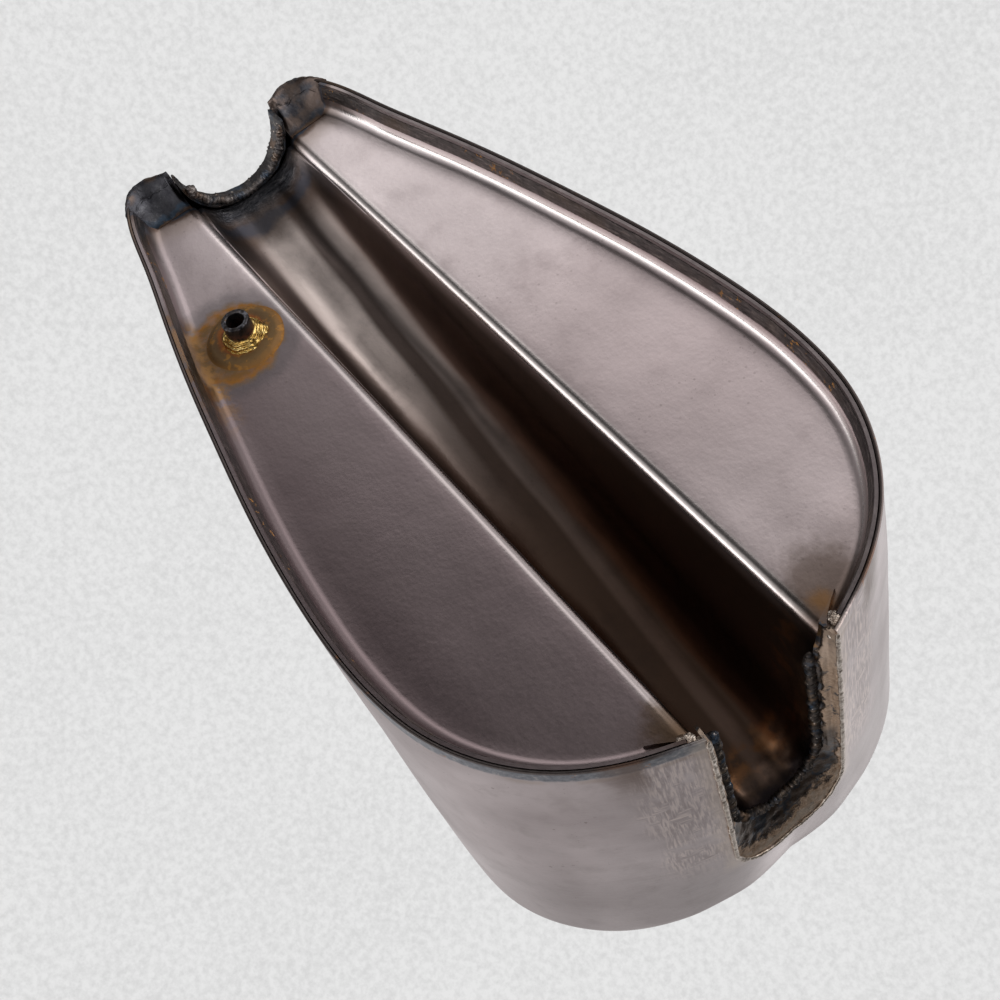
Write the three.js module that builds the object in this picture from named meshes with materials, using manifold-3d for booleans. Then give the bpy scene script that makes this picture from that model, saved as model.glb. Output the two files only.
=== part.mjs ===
// Bare steel motorcycle fuel tank with a backbone tunnel, in its upright position.
// Millimetres. +X forward (the wide end), +Y left, +Z up. The welded rim lies in one plane.
// Layout datum: x = 0 near the tail, y = 0 on the centreline, z = 0 in the rim plane.
import * as THREE from 'three';
import { mergeVertices } from 'three/addons/utils/BufferGeometryUtils.js';
import Module from 'manifold-3d';

const wasm = await Module();
wasm.setup();

// ---------------------------------------------------------------- shared dimensions
const ORIGIN = [215.5, 0, 124.6]; // the part's origin in the layout
const SHEET = 1.5;                // sheet thickness of skin and pan
const GAP = 0.35;                 // clearance between neighbouring pieces

// Left half of the rim in plan, tail centre to front centre: [x, y]
const RIM = [
  [11.1, 0], [10.9, 13.1], [8.7, 26.4], [4.2, 37], [1.2, 44.6], [1.9, 51.3],
  [6.2, 57], [12.8, 61.2], [20.9, 64.7], [39.5, 70], [58.1, 74.1], [89.1, 82],
  [133, 92.7], [179.2, 102], [225, 110.2], [271.4, 115.8], [302.6, 117.4], [318.1, 117],
  [333.5, 115.5], [348.5, 112.7], [363.4, 107.7], [377.4, 100.5], [390.3, 91.4], [401.5, 80.6],
  [410.8, 68.3], [418.4, 54.9], [424.5, 40.6], [428.7, 29.2], [431.2, 14.9], [432, 0],
];

// Crown line: the ridge of the skin, lengthwise on the centreline
const CROWN_H = 222;           // highest level
const CROWN_FRONT_DROP = 12;   // fall at its front end
const TAIL_H = 70;             // level at its rear end
const CROWN_FLAT = [245, 285]; // x range of the level stretch under the filler
const CROWN_RISE = 1.75;       // roundness of the rise from the tail
const SPINE_REAR = 42;         // x of its rear end
const SPINE_FRONT = 326;       // x of its front end
const SPINE_SPAN = 433;        // rim x that maps to the front end; rim x = 0 maps to the rear

// Near-vertical wall of the skin and the dome above it
const WALL_H_FRONT = 200;
const WALL_H_REAR = 30;
const WALL_FULL_X = 330;       // the wall reaches its front height here
const WALL_RISE = 1.9;         // roundness of the wall's rise from the tail
const WALL_BELOW_CROWN = 15;   // the wall ends at least this far under the crown line
const DOME_POWER = 3.1;        // fullness of the dome
// How far the wall swells past the rim (negative: leans in): [distance along the rim, swell]
const WALL_SWELL = [
  [0, 0], [50, 0], [110, 1.4], [220, 1.2], [310, 1.2], [370, 3.6], [410, 7.0], [450, 4.3], [561, -10],
];

// Tunnel along the pan
const TUNNEL_X0 = 20;          // rear end
const TUNNEL_X1 = 419;         // front end
const TUNNEL_ROOF_REAR = 31;   // roof height
const TUNNEL_ROOF_FRONT = 135;
const TUNNEL_HALF_REAR = 32;   // half width
const TUNNEL_HALF_FRONT = 25.7;
const TUNNEL_FLAT = 8;         // half width of the flat strip along the roof
const ARCH_REAR = 31;          // height of the arch above its springing
const ARCH_FRONT = 32;
const ARCH_POWER = 2.3;        // superellipse power of the arch

// Openings in the skin
const NOTCH_R = 33;            // tail notch
const MOUTH_HALF = 31.4;       // half width of the front mouth
const MOUTH_TOP = 160;
const MOUTH_R = 25;            // corner radius of the mouth

// Outlet in the left floor of the pan
const OUTLET = [120.2, 57.1];  // centre
const NIPPLE_R = 6.85;
const FLOOR_Z = 15;            // underside of the pan's floors

// Filler neck
const NECK = [265, 0];         // centre
const NECK_R = 30;
const NECK_BORE = 26;          // bore radius
const NECK_LOW = CROWN_H - 15;
const NECK_HIGH = CROWN_H + 11;

// ---------------------------------------------------------------- small helpers
const QUARTER = Math.PI / 2;
const vec = (x, y, z) => new THREE.Vector3(x, y, z);
const X_AXIS = vec(1, 0, 0);
const Z_AXIS = vec(0, 0, 1);
const lerp = (from, to, share) => from + (to - from) * share;
const clamp01 = (value) => Math.min(1, Math.max(0, value));
const range = (count, make) => Array.from({ length: count }, (_, i) => make(i));
const mirrorY = (points) => points.map((p) => vec(p.x, -p.y, p.z));

// ---------------------------------------------------------------- meshes and solids
function geometryFrom(points, faces) {
  const geometry = new THREE.BufferGeometry().setFromPoints(points);
  geometry.setIndex(faces.flat());
  return geometry;
}

// Merges coincident vertices and drops the triangles that collapse.
function tidy(geometry) {
  const bare = geometry.clone();
  bare.deleteAttribute('normal');
  bare.deleteAttribute('uv');
  const merged = mergeVertices(bare, 1e-4);
  const index = merged.index.array;
  const kept = [];
  for (let i = 0; i < index.length; i += 3) {
    const [a, b, c] = [index[i], index[i + 1], index[i + 2]];
    if (a !== b && b !== c && a !== c) kept.push(a, b, c);
  }
  merged.setIndex(kept);
  return merged;
}

function signedVolume(geometry) {
  const position = geometry.attributes.position;
  const index = geometry.index.array;
  const corner = (i) => vec(0, 0, 0).fromBufferAttribute(position, index[i]);
  let total = 0;
  for (let i = 0; i < index.length; i += 3) {
    total += corner(i).dot(corner(i + 1).cross(corner(i + 2))) / 6;
  }
  return total;
}

// Tidied copy whose faces point outwards.
function outward(geometry) {
  const result = tidy(geometry);
  if (signedVolume(result) < 0) {
    const index = Array.from(result.index.array);
    for (let i = 0; i < index.length; i += 3) {
      [index[i], index[i + 1]] = [index[i + 1], index[i]];
    }
    result.setIndex(index);
  }
  return result;
}

function toSolid(geometry) {
  const closed = outward(geometry);
  return new wasm.Manifold(new wasm.Mesh({
    numProp: 3,
    vertProperties: new Float32Array(closed.attributes.position.array),
    triVerts: new Uint32Array(closed.index.array),
  }));
}

function fromSolid(manifold) {
  const mesh = manifold.getMesh();
  const geometry = new THREE.BufferGeometry();
  geometry.setAttribute('position', new THREE.BufferAttribute(mesh.vertProperties, 3));
  geometry.setIndex(Array.from(mesh.triVerts));
  return tidy(geometry);
}

// A ring's points as 2D points in its mean plane.
function flatten(ring) {
  const origin = ring[0];
  const normal = vec(0, 0, 0);
  ring.forEach((p, i) => {
    const next = ring[(i + 1) % ring.length];
    normal.add(p.clone().sub(origin).cross(next.clone().sub(origin)));
  });
  normal.normalize();
  const guide = Math.abs(normal.z) < 0.9 ? Z_AXIS : X_AXIS;
  const across = guide.clone().cross(normal).normalize();
  const up = normal.clone().cross(across);
  return ring.map((p) => {
    const offset = p.clone().sub(origin);
    return new THREE.Vector2(offset.dot(across), offset.dot(up));
  });
}

// Triangles closing one end of a sweep; base is the index of the ring's first point.
function capFaces(ring, base, atStart) {
  const flat = flatten(ring);
  const turnsLeft = (points) => THREE.ShapeUtils.area(points) > 0;
  const ringTurn = turnsLeft(flat);
  return THREE.ShapeUtils.triangulateShape(flat.slice(), []).map(([a, b, c]) => {
    const agrees = turnsLeft([flat[a], flat[b], flat[c]]) === ringTurn;
    const face = agrees === atStart ? [a, b, c] : [a, c, b];
    return face.map((i) => base + i);
  });
}

// Joins closed sections of equal length, capping both ends or closing the loop.
function sweep(sections, { loop = false } = {}) {
  const count = sections.length;
  const size = sections[0].length;
  const faces = [];
  for (let i = 0; i < (loop ? count : count - 1); i++) {
    const here = i * size;
    const next = ((i + 1) % count) * size;
    for (let j = 0; j < size; j++) {
      const k = (j + 1) % size;
      faces.push([here + j, next + j, next + k], [here + j, next + k, here + k]);
    }
  }
  if (!loop) {
    faces.push(...capFaces(sections[0], 0, true));
    faces.push(...capFaces(sections[count - 1], (count - 1) * size, false));
  }
  return geometryFrom(sections.flat(), faces);
}

// Two matching grids, the faces of a sheet, joined round their four edges.
function sheet(front, back) {
  const rows = front.length;
  const cols = front[0].length;
  const half = rows * cols;
  const faces = [];
  for (let i = 0; i < rows - 1; i++) {
    for (let j = 0; j < cols - 1; j++) {
      const a = i * cols + j;
      const b = a + 1;
      const c = a + cols + 1;
      const d = a + cols;
      faces.push([a, b, c], [a, c, d]);
      faces.push([half + a, half + c, half + b], [half + a, half + d, half + c]);
    }
  }
  const closeEdge = (a, b) => faces.push([a, half + b, b], [a, half + a, half + b]);
  const lastRow = (rows - 1) * cols;
  for (let j = 0; j < cols - 1; j++) {
    closeEdge(j, j + 1);
    closeEdge(lastRow + j + 1, lastRow + j);
  }
  for (let i = 0; i < rows - 1; i++) {
    closeEdge((i + 1) * cols, i * cols);
    closeEdge(i * cols + cols - 1, (i + 1) * cols + cols - 1);
  }
  return geometryFrom([...front.flat(), ...back.flat()], faces);
}

function gridNormals(grid) {
  return grid.map((row, i) => row.map((_, j) => {
    const nextRow = grid[Math.min(i + 1, grid.length - 1)];
    const lastRow = grid[Math.max(i - 1, 0)];
    const down = nextRow[j].clone().sub(lastRow[j]);
    const along = row[Math.min(j + 1, row.length - 1)].clone().sub(row[Math.max(j - 1, 0)]);
    return down.cross(along).normalize();
  }));
}

// Body turned about a vertical axis from [radius, z] pairs.
// The profile starts and ends on the axis, or else is closed into a ring.
function turned(profile, segments, [centreX, centreY]) {
  const points = [];
  const rows = profile.map(([radius, z]) => range(radius === 0 ? 1 : segments, (i) => {
    const angle = (2 * Math.PI * i) / segments;
    const x = centreX + radius * Math.cos(angle);
    return points.push(vec(x, centreY + radius * Math.sin(angle), z)) - 1;
  }));
  if (profile[0][0] > 0) rows.push(rows[0]);
  const faces = [];
  for (let i = 0; i < rows.length - 1; i++) {
    const a = rows[i];
    const b = rows[i + 1];
    for (let j = 0; j < segments; j++) {
      const k = (j + 1) % segments;
      if (a.length === 1) faces.push([a[0], b[k], b[j]]);
      else if (b.length === 1) faces.push([a[j], a[k], b[0]]);
      else faces.push([a[j], a[k], b[k]], [a[j], b[k], b[j]]);
    }
  }
  return outward(geometryFrom(points, faces));
}

const cylinder = ({ radius, low, high, segments, centre }) => (
  turned([[0, low], [radius, low], [radius, high], [0, high]], segments, centre)
);

// Square-section ring from inner to outer radius.
const flatRing = ({ inner, outer, low, high, segments, centre }) => (
  turned([[inner, low], [outer, low], [outer, high], [inner, high]], segments, centre)
);

// ---------------------------------------------------------------- rim outline
// Natural cubic spline through (xs, ys); gives [value, slope].
function naturalSpline(xs, ys) {
  const last = xs.length - 1;
  const step = range(last, (i) => xs[i + 1] - xs[i]);
  const ratio = [0];
  const target = [0];
  for (let i = 1; i < last; i++) {
    const bend = (3 / step[i]) * (ys[i + 1] - ys[i]) - (3 / step[i - 1]) * (ys[i] - ys[i - 1]);
    const pivot = 2 * (xs[i + 1] - xs[i - 1]) - step[i - 1] * ratio[i - 1];
    ratio[i] = step[i] / pivot;
    target[i] = (bend - step[i - 1] * target[i - 1]) / pivot;
  }
  const linear = [];
  const square = [];
  const cubic = [];
  square[last] = 0;
  for (let j = last - 1; j >= 0; j--) {
    square[j] = target[j] - ratio[j] * square[j + 1];
    linear[j] = (ys[j + 1] - ys[j]) / step[j] - (step[j] * (square[j + 1] + 2 * square[j])) / 3;
    cubic[j] = (square[j + 1] - square[j]) / (3 * step[j]);
  }
  return (x) => {
    let i = 0;
    while (i < last - 1 && x > xs[i + 1]) i++;
    const t = x - xs[i];
    return [
      ys[i] + t * (linear[i] + t * (square[i] + t * cubic[i])),
      linear[i] + t * (2 * square[i] + t * 3 * cubic[i]),
    ];
  };
}

// Distance along the rim at each of its points, by straight chords
const rimDistance = [0];
for (let i = 1; i < RIM.length; i++) {
  const chord = Math.hypot(RIM[i][0] - RIM[i - 1][0], RIM[i][1] - RIM[i - 1][1]);
  rimDistance.push(rimDistance[i - 1] + chord);
}
const RIM_LENGTH = rimDistance[RIM.length - 1];
const rimSplineX = naturalSpline(rimDistance, RIM.map(([x]) => x));
const rimSplineY = naturalSpline(rimDistance, RIM.map(([, y]) => y));

// Point and outward normal on the left half, at a distance from the tail centre.
function rim(along) {
  const [x, dx] = rimSplineX(along);
  const [y, dy] = rimSplineY(along);
  const length = Math.hypot(dx, dy);
  return { x, y, nx: -dy / length, ny: dx / length };
}

// Distance between low and high where the rim first passes a test; high if it never does.
function rimWhere(low, high, passed) {
  for (let i = 0; i < 60; i++) {
    const middle = (low + high) / 2;
    if (passed(rim(middle))) high = middle;
    else low = middle;
  }
  return (low + high) / 2;
}

const TAIL_SEARCH = 50;  // length of rim searched from the tail centre
const FRONT_SEARCH = 60; // and back from the front centre
const tailRim = (y) => rim(rimWhere(0, TAIL_SEARCH, (p) => p.y > Math.abs(y)));
const frontStation = (y) => (
  rimWhere(RIM_LENGTH - FRONT_SEARCH, RIM_LENGTH, (p) => p.y < Math.abs(y))
);

// ---------------------------------------------------------------- stations along the rim
const PAN_START = 70;             // rear end of the flange
const PAN_END = frontStation(38); // front end of the flange, 38 from the centreline
const STATIONS = [
  0, 13, 26, 34, 40, 46, 51, 56, 62, 80, 100, 124, 150, 178, 208,
  238, 268, 296, 322, 346, 366, 384, 400, 415, 429, 443, 457, 471, 485, 499,
];
const skinStations = [
  ...STATIONS.filter((q) => Math.abs(q - PAN_START) > 4 && Math.abs(q - PAN_END) > 5),
  PAN_START,
  PAN_END,
  lerp(PAN_END, RIM_LENGTH, 0.36),
  lerp(PAN_END, RIM_LENGTH, 0.7),
  RIM_LENGTH,
].sort((a, b) => a - b);
// The pan shares the skin's stations, so that the flange nests without touching.
const panStations = skinStations.filter((q) => q >= PAN_START && q <= PAN_END);

// ---------------------------------------------------------------- outer skin
const WALL_ROWS = 4;
const DOME_ROWS = 9;
const LAST_ROW = WALL_ROWS + DOME_ROWS;

const spineX = (x) => lerp(SPINE_REAR, SPINE_FRONT, clamp01(x / SPINE_SPAN));

function crownZ(x) {
  const [flatRear, flatFront] = CROWN_FLAT;
  const rise = 1 - (1 - clamp01((x - SPINE_REAR) / (flatRear - SPINE_REAR))) ** CROWN_RISE;
  const fall = clamp01((x - flatFront) / (SPINE_FRONT - flatFront));
  return lerp(TAIL_H, CROWN_H, rise) - CROWN_FRONT_DROP * fall * fall;
}

const wallHeight = (x) => (
  lerp(WALL_H_REAR, WALL_H_FRONT, 1 - (1 - clamp01(x / WALL_FULL_X)) ** WALL_RISE)
);
const swellSpline = naturalSpline(WALL_SWELL.map(([s]) => s), WALL_SWELL.map(([, k]) => k));
const swellAt = (along) => swellSpline(along)[0];

// Offset of the wall from the rim at a share of its height.
const wallOffset = (swell, share) => (
  swell > 0 ? swell * (1 - (1 - share) ** 2) : swell * share ** 3
);

// Point of the skin on a row of its wall or dome; inset shifts it inwards.
function skinPoint(along, row, inset) {
  const edge = rim(along);
  const swell = swellAt(along);
  const ridgeX = spineX(edge.x);
  const crown = crownZ(ridgeX);
  const wallTop = Math.min(wallHeight(edge.x), crown - WALL_BELOW_CROWN);
  const shifted = (offset) => (
    [edge.x + edge.nx * offset, Math.max(0, edge.y + edge.ny * offset)]
  );
  if (row < WALL_ROWS) {
    const share = row / WALL_ROWS;
    const [x, y] = shifted(wallOffset(swell, share) - inset);
    return vec(x, y, wallTop * share);
  }
  const angle = ((row - WALL_ROWS) / DOME_ROWS) * QUARTER;
  const outwards = row === LAST_ROW ? 0 : Math.cos(angle) ** (2 / DOME_POWER);
  const upwards = Math.sin(angle) ** (2 / DOME_POWER);
  const [x, y] = shifted(swell - inset);
  const z = wallTop + (crown - inset - wallTop) * upwards;
  return vec(ridgeX + (x - ridgeX) * outwards, y * outwards, z);
}

// Both faces of the uncut skin, joined at the rim; each closes on itself along the crown line.
function skinShell() {
  const rows = LAST_ROW + 1;
  const layer = (inset) => {
    const left = skinStations.map((along) => range(rows, (row) => skinPoint(along, row, inset)));
    return [...left, ...left.slice(1, -1).reverse().map(mirrorY)];
  };
  const outer = layer(0);
  const inner = layer(SHEET);
  const count = outer.length;
  const off = count * rows;
  const faces = [];
  for (let i = 0; i < count; i++) {
    const a = i * rows;
    const b = ((i + 1) % count) * rows;
    for (let j = 0; j < rows - 1; j++) {
      faces.push([a + j, a + j + 1, b + j + 1], [a + j, b + j + 1, b + j]);
      faces.push([off + a + j, off + b + j + 1, off + a + j + 1]);
      faces.push([off + a + j, off + b + j, off + b + j + 1]);
    }
    faces.push([a, b, off + b], [a, off + b, off + a]);
  }
  return toSolid(geometryFrom([...outer.flat(), ...inner.flat()], faces));
}

// Bar along X with two rounded upper corners, used as a cutter.
// Only the left corner has a point at the full height.
function roundedBar({ half, top, radius, x0, x1, steps }) {
  const low = -20;
  const corner = (side, i) => {
    const angle = QUARTER * (i / steps);
    return [side * (half - radius + radius * Math.cos(angle)), top - radius + radius * Math.sin(angle)];
  };
  const profile = [
    [half, low],
    ...range(steps + 1, (i) => corner(1, i)),
    ...range(steps, (i) => corner(-1, steps - 1 - i)),
    [-half, low],
  ];
  return toSolid(sweep([x0, x1].map((x) => profile.map(([y, z]) => vec(x, y, z)))));
}

function outerSkin() {
  const mouth = { half: MOUTH_HALF, top: MOUTH_TOP, radius: MOUTH_R, x0: 380, x1: 470, steps: 8 };
  const notch = { half: NOTCH_R, top: NOTCH_R, radius: NOTCH_R - 0.01, x0: -40, x1: 30, steps: 14 };
  const neckHole = cylinder({
    radius: NECK_R + GAP, low: CROWN_H - 30, high: CROWN_H + 30, segments: 48, centre: NECK,
  });
  return fromSolid(skinShell()
    .subtract(roundedBar(mouth))
    .subtract(roundedBar(notch))
    .subtract(toSolid(neckHole)));
}

// ---------------------------------------------------------------- bottom pan
const FLANGE_R = 6;        // radius between floor and flange
const FLANGE_LEAN = 2.4;   // the flange leans inwards by this much at the floor
const FLANGE_MID_Z = 4.5;  // height of the point halfway through the lean
const FLANGE_IN = SHEET + GAP + SHEET; // flange's inner face, inwards of the rim outline
const RIDGE_Y = 31;        // outer side of the tunnel's foot, before its radius
const RIDGE_INSET = 0.6;   // the foot of the tunnel wall lies inside it by this much
const RIDGE_R = 5;         // radius between floor and tunnel wall
const ARCH_STEPS = 5;
const FILLET_STEPS = 3;
const RIM_FOLLOW = 0.85;   // how closely tunnel stations follow the rim's x; the rest is even

// Underside of the pan from the roof's centre over the tunnel wall to the floor, at x.
function tunnelHalf(x) {
  const share = (x - TUNNEL_X0) / (TUNNEL_X1 - TUNNEL_X0);
  const half = lerp(TUNNEL_HALF_REAR, TUNNEL_HALF_FRONT, share);
  const height = lerp(ARCH_REAR, ARCH_FRONT, share);
  const roof = lerp(TUNNEL_ROOF_REAR, TUNNEL_ROOF_FRONT, share);
  const spring = roof - height;
  const footY = RIDGE_Y - RIDGE_INSET;
  const footZ = FLOOR_Z + RIDGE_R;
  const power = 2 / ARCH_POWER;
  // Where the arch would run below the foot of the wall, it stops level with it.
  const endAngle = spring < footZ
    ? Math.acos(((footZ - spring) / height) ** (1 / power))
    : QUARTER;
  const points = [[0, roof], [TUNNEL_FLAT, roof]];
  for (let i = 1; i <= ARCH_STEPS; i++) {
    const angle = endAngle * (i / ARCH_STEPS);
    const y = TUNNEL_FLAT + (half - TUNNEL_FLAT) * Math.sin(angle) ** power;
    points.push([y, spring + height * Math.cos(angle) ** power]);
  }
  const [endY, endZ] = points[points.length - 1];
  for (const q of [0.5, 1]) points.push([lerp(endY, footY, q), lerp(endZ, footZ, q)]);
  for (let i = 1; i <= FILLET_STEPS; i++) {
    const angle = QUARTER * (i / FILLET_STEPS);
    points.push([footY + RIDGE_R * (1 - Math.cos(angle)), footZ - RIDGE_R * Math.sin(angle)]);
  }
  return points.map(([py, pz]) => vec(x, py, pz));
}

// Underside of the pan's left half at a rim station: tunnel, floor, flange.
function panColumn(along) {
  const edge = rim(along);
  const evenX = lerp(TUNNEL_X0, TUNNEL_X1, (along - PAN_START) / (PAN_END - PAN_START));
  const rimX = Math.min(TUNNEL_X1, Math.max(TUNNEL_X0, edge.x));
  const tunnel = tunnelHalf(lerp(evenX, rimX, RIM_FOLLOW));
  const inset = (depth, z) => vec(edge.x - edge.nx * depth, edge.y - edge.ny * depth, z);
  const filletFoot = FLANGE_IN + FLANGE_LEAN;
  const flange = range(FILLET_STEPS + 1, (i) => {
    const angle = QUARTER * (i / FILLET_STEPS);
    const depth = filletFoot + FLANGE_R * (1 - Math.sin(angle));
    return inset(depth, FLOOR_Z - FLANGE_R * (1 - Math.cos(angle)));
  });
  flange.push(inset(FLANGE_IN + FLANGE_LEAN * 0.5, FLANGE_MID_Z), inset(FLANGE_IN, 0));
  const floorMiddle = tunnel[tunnel.length - 1].clone().lerp(flange[0], 0.5);
  return [...tunnel, floorMiddle, ...flange];
}

function bottomPan() {
  const under = panStations.map((along) => {
    const left = panColumn(along);
    return [...mirrorY(left.slice(1)).reverse(), ...left];
  });
  const normals = gridNormals(under);
  const over = under.map((row, i) => (
    row.map((p, j) => p.clone().addScaledVector(normals[i][j], SHEET))
  ));
  for (const row of over) {
    row[0].z = 0;
    row[row.length - 1].z = 0;
  }
  const outletHole = cylinder({
    radius: NIPPLE_R + GAP, low: 5, high: 25, segments: 32, centre: OUTLET,
  });
  return fromSolid(toSolid(sheet(under, over)).subtract(toSolid(outletHole)));
}

// ---------------------------------------------------------------- weld helpers
// Irregular wave that varies the size of a bead.
const wobble = (t) => (
  0.5 * Math.sin(7.3 * t + 0.4) + 0.3 * Math.sin(17.1 * t + 1.9) + 0.2 * Math.sin(31.7 * t + 4.1)
);

// Bead of elliptical section; each stop has a centre, two axes u and w, and half sizes along them.
function bead(stops, { sides = 6, loop = false } = {}) {
  return sweep(stops.map(({ centre, u, w, halfU, halfW }) => range(sides, (i) => {
    const angle = (2 * Math.PI * i) / sides;
    return centre.clone()
      .addScaledVector(u, halfU * Math.cos(angle))
      .addScaledVector(w, halfW * Math.sin(angle));
  })), { loop });
}

// ---------------------------------------------------------------- seam weld on the flange
const SEAM_T = 0.8;        // height of the weld track over the flange
const SEAM_END = 2;        // distance from each end of the flange
const SEAM_LEAN_Z = 9;     // the track takes up the flange's full lean at this height
// Section of the track: [z, share of the track's height]
const SEAM_SECTION = [[1.8, 0], [2.3, 0.6], [5, 1], [7.9, 0.6], [8.4, 0], [5, 0]];
const SEAM_BASE_Z = [1.8, 1.8, 5, 7.9, 8.4, 5]; // height at which each point's lean is taken

// Rim point and normal on the straight facets between pan stations.
function rimFacet(along) {
  let i = 0;
  while (i < panStations.length - 2 && along > panStations[i + 1]) i++;
  const a = rim(panStations[i]);
  const b = rim(panStations[i + 1]);
  const share = (along - panStations[i]) / (panStations[i + 1] - panStations[i]);
  const blend = (key) => lerp(a[key], b[key], share);
  return { x: blend('x'), y: blend('y'), nx: blend('nx'), ny: blend('ny') };
}

function seamWeld(side) {
  const stops = [];
  for (let i = 0; i < panStations.length - 1; i++) {
    stops.push(panStations[i], (panStations[i] + panStations[i + 1]) / 2);
  }
  stops[0] += SEAM_END;
  stops.push(PAN_END - SEAM_END);
  return sweep(stops.map((along) => {
    const edge = rimFacet(along);
    return SEAM_SECTION.map(([z, height], i) => {
      const face = FLANGE_IN + FLANGE_LEAN * clamp01(SEAM_BASE_Z[i] / SEAM_LEAN_Z) + GAP;
      const depth = face + SEAM_T * height;
      return vec(edge.x - edge.nx * depth, side * (edge.y - edge.ny * depth), z);
    });
  }));
}

// ---------------------------------------------------------------- tail: saddle strip and welds
const SADDLE_T = 2;
const SADDLE_X1 = 19.2;    // front edge of the strip
const SADDLE_OVERHANG = 0.8; // the rear edge stands this far behind the rim
const SADDLE_ANGLE = 0.10; // the strip starts and ends this far above the horizontal, radians
// Inner outline at the rear and front edges: superellipse half width, height, power
const SADDLE_REAR = { half: 30, height: 30, power: 2 };
const SADDLE_FRONT = { half: 30.6, height: 30.4, power: 2.25 };

function archPoint(angle, { half, height, power }) {
  const cosine = Math.cos(angle);
  const y = Math.sign(cosine) * half * Math.abs(cosine) ** (2 / power);
  return [y, height * Math.sin(angle) ** (2 / power)];
}

function saddleStrip() {
  const rows = 20;
  const cols = 3;
  const inner = range(cols + 1, (i) => range(rows + 1, (j) => {
    const share = i / cols;
    const angle = lerp(SADDLE_ANGLE, Math.PI - SADDLE_ANGLE, j / rows);
    const [rearY, rearZ] = archPoint(angle, SADDLE_REAR);
    const [frontY, frontZ] = archPoint(angle, SADDLE_FRONT);
    const blend = share ** 1.5;
    const x = lerp(tailRim(rearY).x - SADDLE_OVERHANG, SADDLE_X1, share);
    return vec(x, lerp(rearY, frontY, blend), lerp(rearZ, frontZ, blend));
  }));
  const outer = inner.map((row) => row.map((p) => {
    const radius = Math.hypot(p.y, p.z);
    const scale = (radius + SADDLE_T) / radius;
    return vec(p.x, p.y * scale, p.z * scale);
  }));
  return sheet(inner, outer);
}

// Weld round an arch about the X axis; xAt gives x for a y, halfR and halfX are half sizes.
function archWeld({ radius, xAt, startAngle, halfR, halfX, pace }) {
  const steps = 28;
  return bead(range(steps + 1, (i) => {
    const angle = lerp(startAngle, Math.PI - startAngle, i / steps);
    const u = vec(0, Math.cos(angle), Math.sin(angle));
    const scale = 1 + 0.22 * wobble(i * 0.9 * pace);
    const centre = vec(xAt(radius * u.y), radius * u.y, radius * u.z);
    return { centre, u, w: X_AXIS, halfU: halfR * scale, halfW: halfX * scale };
  }));
}

const tailSaddleWeld = () => archWeld({
  radius: 28.6, xAt: () => SADDLE_X1 + 0.1, startAngle: 0.2, halfR: 1.1, halfX: 1.5, pace: 1,
});

const tailNotchWeld = () => archWeld({
  radius: 34.4, xAt: (y) => tailRim(y).x - 1.95, startAngle: 0.3, halfR: 1.6, halfX: 1.4, pace: 1.7,
});

// Thick weld filling the gap between the skin's tail and the pan's rear edge.
function tailWeld(side) {
  const steps = 14;
  const [innerY, outerY] = [34.8, 50.4];
  const centreZ = 7.4;
  const halfHeight = 5.0;
  const frontX = TUNNEL_X0 - 0.6;
  return bead(range(steps + 1, (i) => {
    const y = lerp(innerY, outerY, i / steps);
    const edge = tailRim(y);
    const rearX = edge.x + (SHEET + GAP) / Math.max(0.6, -edge.nx) + 1.1;
    const scale = 1 + 0.12 * wobble(i * 0.8 * 1.3);
    const taper = i === 0 || i === steps ? 0.7 : 1;
    return {
      centre: vec((rearX + frontX) / 2, side * y, centreZ),
      u: X_AXIS,
      w: Z_AXIS,
      halfU: (frontX - rearX) / 2,
      halfW: halfHeight * scale * taper,
    };
  }), { sides: 8 });
}

// ---------------------------------------------------------------- front mouth: strip and welds
const MOUTH_WALL_STEPS = 5;
const MOUTH_ARC_STEPS = 7;
const FOOT_HALF = 29.7;    // half width of the strip's inner edge where it flares at the foot
const FLARE_TOP = 22;      // the flare starts at this height
const FLARE_DROP = 18;     // and is complete this far below it
const ROOF_HALF = 6;       // least half width of the tunnel edge's points

// x of the skin's front face at a given y and z.
function skinFrontX(y, z) {
  const along = frontStation(y);
  const edge = rim(along);
  return edge.x + edge.nx * wallOffset(swellAt(along), clamp01(z / WALL_H_FRONT));
}

// Left side and its mirror as one path of [y, z], wall foot to wall foot over the top.
const bothSides = (left) => [...left, ...left.slice().reverse().map(([y, z]) => [-y, z])];

// Path round the tunnel's front end.
function tunnelEdge({ half, height, top, lowZ }) {
  const spring = top - height;
  const power = 2 / ARCH_POWER;
  const left = range(MOUTH_WALL_STEPS + 1, (i) => {
    const z = lerp(lowZ, spring, i / MOUTH_WALL_STEPS);
    return [half + (FOOT_HALF - half) * clamp01((FLARE_TOP - z) / FLARE_DROP), z];
  });
  for (let i = 1; i <= MOUTH_ARC_STEPS; i++) {
    const angle = QUARTER * (i / MOUTH_ARC_STEPS);
    const y = Math.max(ROOF_HALF, half * Math.cos(angle) ** power);
    left.push([y, spring + height * Math.sin(angle) ** power]);
  }
  return bothSides(left);
}

// Path round the mouth cut in the skin, inset from the cut.
function skinEdge({ inset, lowZ }) {
  const half = MOUTH_HALF - inset;
  const radius = MOUTH_R - inset;
  const spring = MOUTH_TOP - inset - radius;
  const left = range(MOUTH_WALL_STEPS + 1, (i) => (
    [half, lerp(lowZ, spring, i / MOUTH_WALL_STEPS)]
  ));
  for (let i = 1; i < MOUTH_ARC_STEPS; i++) {
    const angle = QUARTER * (i / MOUTH_ARC_STEPS);
    left.push([half - radius + radius * Math.cos(angle), spring + radius * Math.sin(angle)]);
  }
  left.push([(half - radius) * 0.6, spring + radius]);
  return bothSides(left);
}

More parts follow.
